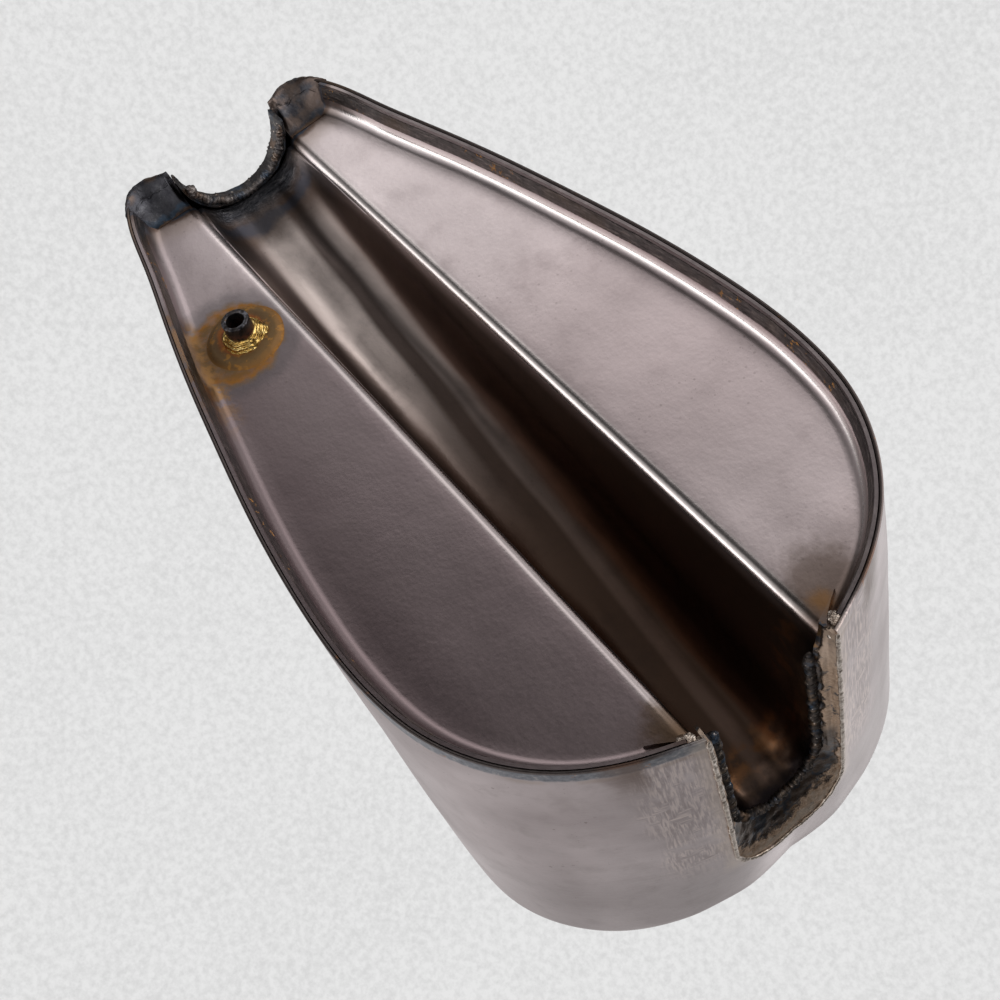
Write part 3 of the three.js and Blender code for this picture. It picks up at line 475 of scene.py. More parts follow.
class Material(Graph):
    """Metal or rubber painted in layers; places and sizes are in tank mm."""

    def __init__(self, name):
        self.data = bpy.data.materials.new(name)
        super().__init__(self.data)
        coordinates = self.node("ShaderNodeTexCoord", {}, out="Object")
        self.place = self.node("ShaderNodeVectorMath", {
            0: coordinates, 1: (1000, 1000, 1000), 2: tuple(ORIGIN)}, operation="MULTIPLY_ADD")

    @cached_property
    def axes(self):
        split = self.node("ShaderNodeSeparateXYZ", {0: self.place}).socket.node
        return [Field(self, out) for out in split.outputs]

    x = property(lambda self: self.axes[0])
    y = property(lambda self: self.axes[1])
    z = property(lambda self: self.axes[2])

    @cached_property
    def abs_y(self):
        return self.math("ABSOLUTE", self.y)

    def math(self, operation, a, b=0.5, c=0.5):
        return super().math(operation, a, b, c)

    def scaled(self, size, offset, stretch=(1, 1, 1)):
        vector = self.vector_math("MULTIPLY", self.place, tuple(1 / (size * s) for s in stretch))
        return self.vector_math("ADD", vector, offset)

    def noise(self, size, detail=3.0, rough=0.55, seed=0.0, stretch=(1, 1, 1)):
        """Cloudy 0..1 noise; size is its feature size."""
        vector = self.scaled(size, (seed * 7.31, seed * 3.17, seed * 5.71), stretch)
        return self.node("ShaderNodeTexNoise", {
            "Vector": vector, "Scale": 1, "Detail": detail, "Roughness": rough})

    def jitter(self, amount, **noise_settings):
        """Noise centred on 0 that makes an edge ragged by about amount mm."""
        return (self.noise(**noise_settings) - 0.5) * amount

    def specks(self, size, cover, seed):
        """Round dots, kept where a coarser noise is over cover."""
        dots = self.node("ShaderNodeTexVoronoi", {
            "Vector": self.scaled(size, (seed * 7.3, seed * 3.1, seed * 5.7)), "Scale": 1},
            out="Distance")
        patches = self.noise(size * 6, detail=2, seed=seed + 3)
        return dots.step(0.16, 0.09) * patches.step(cover, cover + 0.06)

    def distance(self, centre):
        return self.vector_math("DISTANCE", self.place, centre)

    def flat_distance(self, x, y):
        """Distance seen from above."""
        flat = self.vector_math("MULTIPLY", self.place, (1, 1, 0))
        return self.vector_math("DISTANCE", flat, (x, y, 0))

    def paint(self, mask, colour):
        self.colour = mix(mask, self.colour, colour)

    def polish(self, mask, rough):
        """Set the roughness where mask is 1."""
        self.rough = level(mask, self.rough, rough)

    def bump(self, height, depth, strength, normal=None):
        """Bumps of depth mm, on top of another bump if normal is given."""
        inputs = {"Strength": strength, "Distance": depth / 1000.0, "Height": height}
        if normal is not None:
            inputs["Normal"] = normal
        return self.node("ShaderNodeBump", inputs)

    def surface(self, metal, normal):
        """Close the graph with the painted colour and roughness."""
        shader = self.node("ShaderNodeBsdfPrincipled", {
            "Base Color": self.colour, "Roughness": self.rough,
            "Metallic": metal, "Normal": normal})
        self.finish("ShaderNodeOutputMaterial", shader)
        return self.data


# ---------------------------------------------------------------- materials
# Colours are linear RGB. step and band limits are mm on x, y, z and distances, and
# levels 0..1 on noise. A last factor on a mask is the layer's strength.
def pan_steel():
    mat = Material("pan_steel")
    big = mat.noise(95, rough=0.5, seed=1)
    mid = mat.noise(22, detail=4, rough=0.6, seed=2)
    fine = mat.noise(2.2, rough=0.6, seed=3)
    left = mat.y.step(-6, 30)
    # right floor: pale rear, a cloudy darker band in the middle and a darker front, all painted
    # light and shade
    cloud = (mat.x + (mid - 0.5) * 60).band(150, 235, 300, 360) * 0.55
    right_floor = mix(mat.x.step(40, 300), (0.92, 0.82, 0.82), (0.77, 0.66, 0.66))
    right_floor = mix(cloud, right_floor, (0.50, 0.41, 0.41))
    right_floor = mix(mat.x.step(372, 412) * 0.5, right_floor, (0.44, 0.34, 0.31))
    # left floor: painted shade, darker than the right floor, paler towards the tail, darkest
    # along the outside
    left_floor_shade = (mat.x + (mid - 0.5) * 40).step(62, 150)
    left_floor = mix(left_floor_shade, (0.72, 0.625, 0.63), (0.295, 0.237, 0.242))
    left_floor = mix(mat.x.step(170, 330) * 0.28, left_floor, (0.40, 0.305, 0.315))
    rim_side_shade = (mat.abs_y - mat.x * 0.13).step(28, 62) * left
    left_floor = mix(rim_side_shade * 0.40, left_floor, (0.20, 0.145, 0.15))
    mat.colour = mix(left, right_floor, left_floor)
    mat.paint(big.step(0.35, 0.7) * 0.30, (0.36, 0.30, 0.30))
    mat.paint(mid.step(0.45, 0.75) * 0.26, (0.30, 0.24, 0.24))
    # tunnel: brown, darker towards the front; painted shade darkens the right wall, and the pale
    # lengthwise bands either side of a dark crease are painted reflections
    inside = mat.abs_y.step(36, 31) * mat.z.step(16, 30)
    wave = mat.jitter(5, size=30, detail=2, seed=4, stretch=(4, 0.5, 1))
    from_crease = mat.y + wave - mat.math("MULTIPLY_ADD", mat.x, 0.0466, -12.7)
    tunnel = mix(mat.x.step(60, 330), (0.21, 0.165, 0.150), (0.155, 0.098, 0.070))
    tunnel = mix(mat.y.step(-12, -24) * 0.55, tunnel, (0.120, 0.078, 0.058))
    left_band_reflection = from_crease.band(2.0, 7, 19, 28) * mat.x.step(265, 105)
    right_band_reflection = from_crease.band(-15, -9.5, -7, -3.0) * mat.x.step(20, 80)
    pale = mix(mat.x.step(90, 330), (1.0, 0.86, 0.80), (0.42, 0.29, 0.235))
    tunnel = mix(left_band_reflection, tunnel, pale)
    tunnel = mix(right_band_reflection * 0.52, tunnel, pale)
    tunnel = mix(mid.step(0.45, 0.75) * 0.3, tunnel, (0.07, 0.05, 0.045))
    mat.paint(inside, tunnel)
    # heat colours at the tail of the floor: straw, brown, a thin blue edge, charcoal
    ragged = mat.jitter(7, size=9, seed=5)
    heat_x = mat.x + ragged - mat.abs_y.step(28, 58) * -5.0
    floor_only = 1.0 - inside
    mat.paint(heat_x.step(44, 27) * 0.50 * floor_only, (0.30, 0.215, 0.15))
    mat.paint(heat_x.step(29, 25) * 0.85 * floor_only, (0.14, 0.085, 0.06))
    mat.paint(heat_x.step(25.0, 23) * 0.80 * floor_only, (0.05, 0.085, 0.13))
    mat.paint(heat_x.step(22.6, 20.5) * floor_only, (0.055, 0.053, 0.058))
    # and in the tunnel: brown, a blue band, then flaky scale
    brown_x = mat.x + mat.jitter(16, size=13, seed=7)
    mat.paint(brown_x.step(62, 40) * 0.85 * inside, (0.10, 0.066, 0.050))
    mat.paint(brown_x.band(32, 37, 40, 46) * 0.55 * inside, (0.05, 0.075, 0.115))
    flakes = mat.noise(3.2, detail=5, rough=0.65, seed=23, stretch=(0.6, 1.6, 1.6))
    flake_colour = mat.ramp(flakes, [(0.3, (0.030, 0.031, 0.036)), (0.52, (0.070, 0.070, 0.078)),
                                     (0.72, (0.17, 0.165, 0.17))])
    scale = (mat.x + mat.jitter(7, size=7, seed=24)).step(37.0, 27.0) * inside
    mat.paint(scale, flake_colour)
    # scorching at the front end, with coppery patches in the tunnel
    front_x = mat.x + mat.jitter(18, size=9, seed=6)
    middle = mat.abs_y.step(60, 34)
    mat.paint(front_x.step(392, 416) * middle * 0.75, (0.13, 0.085, 0.06))
    mat.paint(front_x.step(404, 417) * middle * inside * 0.92, (0.022, 0.020, 0.024))
    copper = (front_x.band(388, 397, 400, 408) * inside
              * mat.noise(11, seed=18).step(0.45, 0.62))
    mat.paint(copper * 0.75, (0.36, 0.17, 0.075))
    # rust round the outlet: rings in a dark halo, and a smear out to the rim
    ring_r = (mat.flat_distance(OUTLET[0] - 1.0, OUTLET[1] + 6.0)
              + mat.jitter(9, size=8, detail=4, seed=8))
    rust = mat.ramp(ring_r / 32.0, [
        (0.30, (0.20, 0.115, 0.05)), (0.54, (0.19, 0.11, 0.042)), (0.64, (0.23, 0.115, 0.030)),
        (0.72, (0.34, 0.145, 0.020)), (0.79, (0.22, 0.14, 0.06)), (0.95, (0.24, 0.19, 0.15))])
    orange = mat.noise(3.2, detail=4, rough=0.7, seed=9).step(0.52, 0.68)
    rust = mix(orange * 0.6, rust, (0.34, 0.14, 0.035))
    rusted = ring_r.step(27.5, 23.0) * (mat.noise(5, seed=10).step(0.3, 0.6) * 0.25 + 0.74)
    mat.paint(ring_r.band(22, 27, 29, 37) * 0.50, (0.155, 0.14, 0.145))
    mat.paint(rusted, rust)
    smear = ((mat.abs_y - mat.x * 0.13).step(58, 64) * mat.x.band(84, 98, 128, 176)
             * mat.noise(6, detail=4, rough=0.65, seed=19).step(0.40, 0.56) * left)
    mat.paint(smear * 0.85, (0.36, 0.19, 0.06))
    # painted highlight: bright line along the bends from tunnel to floor
    bend = ((mat.abs_y + (mid - 0.5) * 1.2).band(30.2, 31.6, 34.0, 37.0)
            * mat.z.step(24, 18.5) * mat.x.step(24, 60) * mat.x.step(414, 400))
    mat.paint(bend * level(left, 0.85, 0.36), (0.98, 0.91, 0.88))
    # right flange: dark weld track below, a painted highlight line above it
    right = mat.y.step(-20, -34) * mat.x.step(24, 40)
    flange_z = mat.z + mat.jitter(1.6, size=8, seed=25, stretch=(3, 3, 1))
    track = mat.noise(2.4, detail=5, rough=0.65, seed=26, stretch=(3.2, 3.2, 0.45))
    track_colour = mat.ramp(track, [(0.28, (0.045, 0.038, 0.038)), (0.5, (0.12, 0.10, 0.10)),
                                    (0.74, (0.26, 0.22, 0.215))])
    mat.paint(right * flange_z.step(9.0, 7.6) * 0.92, track_colour)
    flange_highlight = right * flange_z.band(8.4, 9.6, 12.6, 14.2) * mat.x.step(420, 395)
    mat.paint(flange_highlight * 0.9, (1.0, 0.95, 0.93))
    # rust at the front corners: brown and orange on the right, brown on the left
    corner = mat.distance((404, -47, 15)) + mat.jitter(14, size=5, detail=4, seed=12)
    mat.paint(corner.step(24, 8) * 0.66, (0.13, 0.085, 0.055))
    corner = mat.distance((409, -41, 15)) + mat.jitter(9, size=4, detail=4, seed=22)
    mat.paint(corner.step(8.5, 0.5) * 0.42, (0.42, 0.19, 0.03))
    corner = mat.distance((408, 33, 16)) + mat.jitter(14, size=5, detail=4, seed=13)
    mat.paint(corner.step(17, 6) * 0.78, (0.15, 0.095, 0.055))
    # painted shade low on the flange walls and in their radius, then pits
    mat.paint(mat.z.step(14.4, 10.5) * mat.abs_y.step(38, 45) * 0.35, (0.27, 0.235, 0.235))
    large_pits = mat.specks(size=5.0, cover=0.42, seed=14)
    small_pits = mat.specks(size=1.5, cover=0.50, seed=15)
    pitted = mat.noise(60, seed=21).step(0.45, 0.62)
    mat.paint((large_pits * 0.5 + small_pits) * pitted * 0.45, (0.08, 0.06, 0.055))

    mat.rough = fine * 0.10 + big * 0.10 + 0.22
    mat.polish(rusted, 0.70)
    mat.polish(inside * 0.8, 0.34)
    mat.polish(heat_x.step(27, 22) * 0.8, 0.45)
    mat.polish(bend * 0.8, 0.20)
    mat.polish(flange_highlight * 0.8, 0.18)
    height = fine * 0.35 + mid * 0.8 + big * 4.0 + mat.noise(7, detail=2, seed=17) * 0.25
    normal = mat.bump(height, depth=0.30, strength=0.5)
    normal = mat.bump(scale * flakes * 1.6, depth=0.45, strength=0.8, normal=normal)
    return mat.surface(metal=level(rusted, 1.0, 0.35), normal=normal)


def skin_steel():
    mat = Material("skin_steel")
    big = mat.noise(70, rough=0.5, seed=21)
    mid = mat.noise(14, detail=4, rough=0.6, seed=22)
    fine = mat.noise(1.6, rough=0.6, seed=23)
    streak = mat.noise(5, rough=0.6, seed=24, stretch=(6, 6, 0.35))
    mat.colour = mix(big.step(0.3, 0.7), (0.515, 0.445, 0.447), (0.335, 0.280, 0.280))
    mat.paint(mid.step(0.45, 0.75) * 0.45, (0.275, 0.226, 0.220))
    # sanded strips beside the mouth: short upright scratches, some lying
    strip_y = mat.abs_y + mat.jitter(22, size=16, seed=25)
    beside = mat.x.step(400, 410) * strip_y.step(64, 54) * mat.z.step(158, 120)
    sanded = beside * mat.noise(18, seed=36).step(0.30, 0.46)
    upright = mat.noise(1.1, detail=2, seed=27, stretch=(1.0, 1.0, 9))
    lying = mat.noise(1.1, detail=2, seed=26, stretch=(9, 9, 1.0))
    scratches = level(mat.noise(10, detail=2, seed=28).step(0.56, 0.62), upright, lying)
    mat.paint(sanded * scratches.step(0.44, 0.64) * 0.60, (0.74, 0.63, 0.58))
    mat.paint(sanded * scratches.step(0.50, 0.36) * 0.45, (0.30, 0.235, 0.22))
    # painted shade: darker high on the front
    high = mat.z.step(105, 165) * mat.x.step(330, 400) * mat.abs_y.step(8, 30)
    mat.paint(high * 0.55, (0.21, 0.172, 0.170))
    # blue-grey weld track just above the lip, the dark lip, and a faint halo
    track_z = mat.z + mat.jitter(2.6, size=4, seed=29)
    track = (track_z.band(-2, 0.2, 5.6, 7.6) * mat.x.step(434, 428)
             * mat.x.step(60, 250) * mat.y.step(-30, 10))
    mottle = mat.ramp(mat.noise(2.6, detail=4, rough=0.65, seed=37), [
        (0.3, (0.055, 0.065, 0.085)), (0.5, (0.13, 0.145, 0.17)), (0.72, (0.30, 0.29, 0.29))])
    mat.paint(track * 0.9, mottle)
    mat.paint(mat.z.step(1.2, 0.1) * mat.x.step(426, 420) * 0.85, (0.062, 0.048, 0.042))
    halo = track_z.band(6.6, 7.8, 8.6, 12) * mat.noise(20, detail=2, seed=30).step(0.4, 0.6)
    mat.paint(halo * 0.35, (0.30, 0.215, 0.15))
    # pale right at the mouth's cut, brown heat beside the sanded strip
    cut_y = mat.abs_y + mat.jitter(10, size=9, seed=31)
    at_cut = cut_y.step(40, 33) * mat.z.step(162, 146) * mat.x.step(404, 414)
    mat.paint(at_cut * 0.45, (0.60, 0.50, 0.42))
    brown = cut_y.band(50, 57, 61, 72) * mat.z.step(44, 8) * mat.x.step(398, 405) * 0.80
    mat.paint(brown, (0.125, 0.075, 0.055))
    # burnt tail with a brown edge
    ragged = mat.jitter(12, size=11, seed=32)
    burnt = (mat.x + ragged).step(26, 6) * mat.z.step(56, 30)
    mat.paint(burnt, (0.055, 0.055, 0.062))
    burnt_edge = (mat.x + ragged).band(10, 20, 26, 44) * mat.z.step(50, 26)
    mat.paint(burnt_edge * 0.6, (0.20, 0.14, 0.10))
    # rust on the track, then spots and pits
    spots = mat.specks(size=6, cover=0.60, seed=33)
    pits = mat.specks(size=2.2, cover=0.56, seed=34)
    rust = track_z.band(-1, 1, 5, 8) * mat.noise(7, seed=35).step(0.66, 0.72)
    mat.paint(rust * 0.8, (0.36, 0.15, 0.04))
    mat.paint((spots + pits) * 0.6, (0.15, 0.11, 0.095))

    mat.rough = fine * 0.08 + big * 0.12 + streak * 0.06 + 0.22
    mat.polish(sanded * 0.8, 0.40)
    mat.polish(burnt * 0.8, 0.45)
    mat.polish(track * 0.7, 0.42)
    height = fine * 0.3 + mid * 0.7 + big * 4.0 + streak * 0.4 + sanded * scratches * 0.6
    return mat.surface(metal=1.0, normal=mat.bump(height, depth=0.28, strength=0.5))


@cache
def seam_track():
    """Dark, brownish seam weld with orange rust spots."""
    mat = Material("seam_track")
    grain = mat.noise(2.4, detail=5, rough=0.65, seed=41, stretch=(3.2, 3.2, 0.45))
    mat.colour = mat.ramp(grain, [(0.28, (0.030, 0.026, 0.026)), (0.5, (0.085, 0.075, 0.073)),
                                  (0.74, (0.24, 0.205, 0.19))])
    mat.paint(mat.noise(30, rough=0.5, seed=42).step(0.45, 0.7) * 0.5, (0.115, 0.08, 0.055))
    orange = (mat.noise(4.0, detail=4, rough=0.7, seed=43).step(0.57, 0.63)
              * mat.noise(26, detail=2, seed=44).step(0.53, 0.60))
    mat.paint(orange * 0.85, (0.42, 0.19, 0.04))
    mat.rough = grain * 0.22 + 0.30
    mat.polish(orange, 0.8)
    normal = mat.bump(grain + mat.noise(0.9, detail=2, seed=45) * 0.5, depth=0.30, strength=0.75)
    return mat.surface(metal=level(orange, 0.95, 0.2), normal=normal)


@cache
def scale_steel(name, dark, middle, light, seed):
    """Scaly steel with blue and brown tints and small glints."""
    mat = Material(name)
    coarse = mat.noise(5, detail=5, rough=0.65, seed=seed)
    fine = mat.noise(1.4, rough=0.6, seed=seed + 1)
    tint = mat.noise(9, seed=seed + 2)
    mat.colour = mat.ramp(coarse, [(0.3, dark), (0.52, middle), (0.78, light)])
    mat.paint(tint.step(0.52, 0.68) * 0.55, (0.045, 0.085, 0.14))
    mat.paint(tint.step(0.44, 0.32) * 0.45, (0.17, 0.10, 0.055))
    glint = mat.noise(2.0, detail=2, seed=seed + 4).step(0.64, 0.70) * 0.7
    mat.paint(glint, (0.42, 0.36, 0.31))
    mat.rough = fine * 0.3 + 0.36
    mat.polish(glint, 0.25)
    return mat.surface(metal=0.92, normal=mat.bump(coarse + fine * 0.5, depth=0.5, strength=0.8))


def weld_bead():
    return scale_steel("weld_bead", dark=(0.045, 0.042, 0.045), middle=(0.14, 0.125, 0.12),
                       light=(0.38, 0.34, 0.31), seed=55)


@cache
def weld_lump():
    mat = Material("weld_lump")
    coarse = mat.noise(5.5, detail=5, rough=0.6, seed=58)
    fine = mat.noise(1.3, rough=0.6, seed=59)
    mat.colour = mat.ramp(coarse, [(0.28, (0.030, 0.030, 0.036)), (0.52, (0.062, 0.062, 0.070)),
                                   (0.78, (0.13, 0.13, 0.138))])
    # brown bloom over the rolled lip
    brown = mat.z.step(2.5, -0.6) * mat.noise(7, seed=60).step(0.40, 0.62) * 0.55
    mat.paint(brown, (0.135, 0.085, 0.055))
    # the right lump is browner
    right = mat.y.step(5, -5)
    mat.paint(right * mat.noise(9, seed=62).step(0.36, 0.58) * 0.75, (0.155, 0.115, 0.095))
    # blue haze, then brown, towards the floor
    haze_x = mat.x + mat.jitter(7, size=6, seed=61)
    mat.paint(haze_x.band(16.5, 18.6, 19.4, 20.6) * level(right, 0.55, 0.25),
              (0.055, 0.095, 0.145))
    mat.paint(haze_x.step(19.4, 21.2) * 0.8, (0.17, 0.11, 0.075))
    glint = fine.step(0.66, 0.72) * coarse.step(0.45, 0.60) * 0.55
    mat.paint(glint, (0.34, 0.32, 0.31))
    mat.rough = fine * 0.22 + 0.30
    mat.polish(glint, 0.25)
    return mat.surface(metal=0.95, normal=mat.bump(coarse + fine * 0.4, depth=0.35, strength=0.7))


def mouth_strip_steel():
    """Tan at the cut, wide on the side walls and narrow under the roof; dark lap behind."""
    mat = Material("mouth_strip")
    coarse = mat.noise(6, detail=4, rough=0.6, seed=61)
    fine = mat.noise(1.6, rough=0.6, seed=62)
    height = mat.z / MOUTH_TOP
    forward = (mat.x + height * height * height * 4.0
               + mat.jitter(9.0, size=9, detail=4, rough=0.65, seed=66))
    at_cut = level(mat.z.step(84, 120), forward.step(421.6, 423.2), forward.step(426.0, 427.6))
    tan = mix(fine.step(0.4, 0.7), (0.38, 0.265, 0.185), (0.54, 0.405, 0.30))
    stains = mat.noise(5, detail=4, rough=0.7, seed=63).step(0.60, 0.64)
    tan = mix(stains, tan, (0.095, 0.090, 0.090))
    tan = mix(mat.z.step(40, 14) * 0.6, tan, (0.60, 0.48, 0.39))
    light = mix(fine, (0.42, 0.35, 0.28), (0.66, 0.58, 0.50))
    tan = mix(mat.z.step(100, 124) * forward.step(427.5, 429.5) * 0.8, tan, light)
    lap = mat.ramp(mat.noise(9, seed=64), [
        (0.3, (0.028, 0.022, 0.020)), (0.46, (0.085, 0.058, 0.042)),
        (0.56, (0.045, 0.050, 0.062)), (0.70, (0.22, 0.125, 0.060))])
    dark_edge = at_cut.band(0.02, 0.25, 0.6, 0.98)
    mat.colour = mix(at_cut, lap, tan)
    mat.paint(dark_edge * 0.7, (0.06, 0.045, 0.035))
    mat.rough = level(at_cut, 0.30, fine * 0.2 + 0.42)
    normal = mat.bump(coarse + fine * 0.4 + at_cut * 1.6, depth=0.6, strength=0.7)
    return mat.surface(metal=0.9, normal=normal)


@cache
def bright_weld(name, seed):
    mat = Material(name)
    coarse = mat.noise(2.6, detail=4, rough=0.65, seed=seed)
    lines = mat.noise(1.0, detail=2, rough=0.6, seed=seed + 1, stretch=(1, 6, 1))
    mat.colour = mat.ramp(coarse, [(0.3, (0.16, 0.12, 0.095)), (0.48, (0.44, 0.37, 0.31)),
                                   (0.72, (0.74, 0.67, 0.60))])
    mat.rough = lines * 0.25 + 0.25
    return mat.surface(metal=0.95, normal=mat.bump(coarse + lines * 0.4, depth=0.5, strength=0.8))


def rusted_disc():
    mat = Material("rusted_disc")
    radius = mat.flat_distance(OUTLET[0] - 1.5, OUTLET[1] + 1.0)
    fine = mat.noise(3.0, detail=5, rough=0.7, seed=81)
    coarse = mat.noise(9, seed=82)
    mat.colour = mat.ramp((radius + (coarse - 0.5) * 5) / 24.0, [
        (0.36, (0.17, 0.048, 0.014)), (0.46, (0.30, 0.095, 0.018)), (0.56, (0.15, 0.085, 0.034)),
        (0.68, (0.175, 0.105, 0.042)), (0.80, (0.23, 0.115, 0.030)),
        (0.90, (0.32, 0.135, 0.019))])
    mat.paint(fine.step(0.52, 0.70) * 0.5, (0.105, 0.060, 0.028))
    mat.paint(mat.noise(4, seed=83).step(0.56, 0.66) * 0.6, (0.46, 0.21, 0.03))
    mat.rough = fine * 0.25 + 0.48
    return mat.surface(metal=0.35, normal=mat.bump(fine + coarse * 0.5, depth=0.30, strength=0.7))


def braze_brass():
    mat = Material("braze_brass")
    grain = mat.noise(2.4, detail=4, rough=0.6, seed=91)
    mat.colour = mat.ramp(grain, [(0.32, (0.13, 0.06, 0.02)), (0.44, (0.52, 0.33, 0.09)),
                                  (0.62, (0.80, 0.60, 0.24)), (0.78, (0.95, 0.86, 0.55))])
    mat.rough = mat.noise(5, detail=2, seed=92) * 0.25 + 0.12
    return mat.surface(metal=1.0, normal=mat.bump(grain, depth=0.5, strength=0.7))


def nipple_scale():
    """Near-black scale, red-brown towards the disc, greyer at the pipe's open end."""
    mat = Material("nipple_scale")
    grain = mat.noise(3, detail=4, rough=0.65, seed=95)
    mat.colour = mat.ramp(grain, [(0.3, (0.018, 0.018, 0.022)), (0.55, (0.05, 0.045, 0.045)),
                                  (0.8, (0.13, 0.075, 0.045))])
    mat.paint(mat.z.step(3.0, 8.5) * grain.step(0.36, 0.60) * 0.85, (0.15, 0.060, 0.045))
    open_end = mat.z.step(2.2, 1.2) * mat.noise(2, seed=96).step(0.45, 0.6)
    mat.paint(open_end * 0.6, (0.22, 0.22, 0.25))
    mat.rough = grain * 0.2 + 0.30
    return mat.surface(metal=0.85, normal=mat.bump(grain, depth=0.25, strength=0.6))


@cache
def plain(name, colour, rough, grain, seed, metal=1.0, amount=0.12, stretch=(1, 1, 1), bump=0.08):
    """One colour with a grain of size mm; amount is how far it darkens."""
    mat = Material(name)
    fine = mat.noise(grain, rough=0.6, seed=seed, stretch=stretch)
    coarse = mat.noise(grain * 14, rough=0.6, seed=seed + 1)
    dark = tuple(v * (1 - 2.2 * amount) for v in colour)
    mat.colour = mix((fine + coarse) * 0.5, dark, colour)
    mat.rough = fine * 0.10 + (rough - 0.05)
    return mat.surface(metal=metal, normal=mat.bump(fine, depth=bump, strength=0.5))


# ---------------------------------------------------------------- outer skin
def spine_x(x):
    return lerp(SPINE[0], SPINE[1], clamp(np.asarray(x) / 433.0))


def crown_z(x):
    climb = 1 - (1 - clamp((x - SPINE[0]) / (CROWN_FLAT[0] - SPINE[0]))) ** CROWN_RISE
    fall = clamp((x - CROWN_FLAT[1]) / (SPINE[1] - CROWN_FLAT[1]))
    return lerp(TAIL_H, CROWN_H, climb) - CROWN_DROP * fall * fall


def wall_height(x):
    return lerp(WALL_REAR, WALL_FRONT, 1 - (1 - clamp(np.asarray(x) / 330.0)) ** 1.9)


def swell(s):
    return swell_curve(np.asarray(s, float))[0]


def lean(bulge, height):
    """Bulge reached at a share of the wall's height: early outwards, late inwards."""
    return np.where(bulge > 0, bulge * (1 - (1 - height) ** 2), bulge * height ** 3)


def skin_grid(stations, levels, inset):
    """Left half of the skin: wall, then a superelliptic dome up to the spine."""
    s, v = np.meshgrid(stations, levels, indexing="ij")
    x, y, nx, ny = rim(s)
    bulge, ridge_x = swell(s), spine_x(x)
    wall_top = np.minimum(wall_height(x), crown_z(ridge_x) - 15)
    top = crown_z(ridge_x) - inset
    q = np.clip(v / WALL_SHARE, 0, 1)
    out = lean(bulge, q) - inset
    wall = np.stack([x + nx * out, np.maximum(0, y + ny * out), wall_top * q], -1)
    turn = np.clip((v - WALL_SHARE) / (1 - WALL_SHARE), 0, 1) * (math.pi / 2)
    spread = np.where(v >= 1 - 1e-9, 0.0, np.cos(turn).clip(0) ** (2 / DOME_POWER))
    rise = np.sin(turn) ** (2 / DOME_POWER)
    edge_x = x + nx * (bulge - inset)
    edge_y = np.maximum(0, y + ny * (bulge - inset))
    dome = np.stack([ridge_x + (edge_x - ridge_x) * spread, edge_y * spread,
                     wall_top + (top - wall_top) * rise], -1)
    return np.where((v < WALL_SHARE)[..., None], wall, dome)


def skin_x_front(y, z):
    """x of the skin's front wall."""
    s = front_rim(y)
    x, _, nx, _ = rim(s)
    return float(x + nx * lean(swell(s), min(1.0, max(0.0, z / WALL_FRONT))))


def arch_cutter(half, top, radius, x_range, corner_steps, wobble, seed):
    """Lengthwise bar with rounded upper corners and a slightly uneven outline."""
    outline = [(half, -20.0)] + [(half, z) for z in np.linspace(-10, top - radius, 18)]
    outline += [(half - radius + radius * math.cos(t), top - radius + radius * math.sin(t))
                for t in np.linspace(0, math.pi / 2, corner_steps + 1)[1:]]
    outline += [(-y, z) for y, z in outline[::-1]]
    uneven = []
    for i, (y, z) in enumerate(outline):
        if i and math.hypot(y - outline[i - 1][0], z - outline[i - 1][1]) <= 1e-6:
            continue
        spot = Vector((seed, y / 9 - seed, z / 9 + 0.7 * seed))
        push = wobble * noise.fractal(spot, 1.0, 2.0, 3)
        length = math.hypot(y, max(z, 0)) or 1
        uneven.append((y + push * y / length, z + (push * z / length if z > 0 else 0)))
    return tube("cutter", [[(x, y, z) for y, z in uneven] for x in x_range])


def warp_skin(mesh):
    """Soft hand-formed unevenness, pressed in after the cuts so both faces follow."""
    points = np.empty(len(mesh.vertices) * 3)
    mesh.vertices.foreach_get("co", points)
    points = points.reshape(-1, 3) * 1000 + ORIGIN
    for i, (x, y, z) in enumerate(points):
        push = 0.55 * noise_at(x / 62, y / 62, z / 48) * min(1.0, max(0.0, z) / 22)
        way = np.array([x - 250, y, 0.0])
        points[i] += way / (np.linalg.norm(way) + 1e-9) * push
    mesh.vertices.foreach_set("co", ((points - ORIGIN) / 1000).reshape(-1))


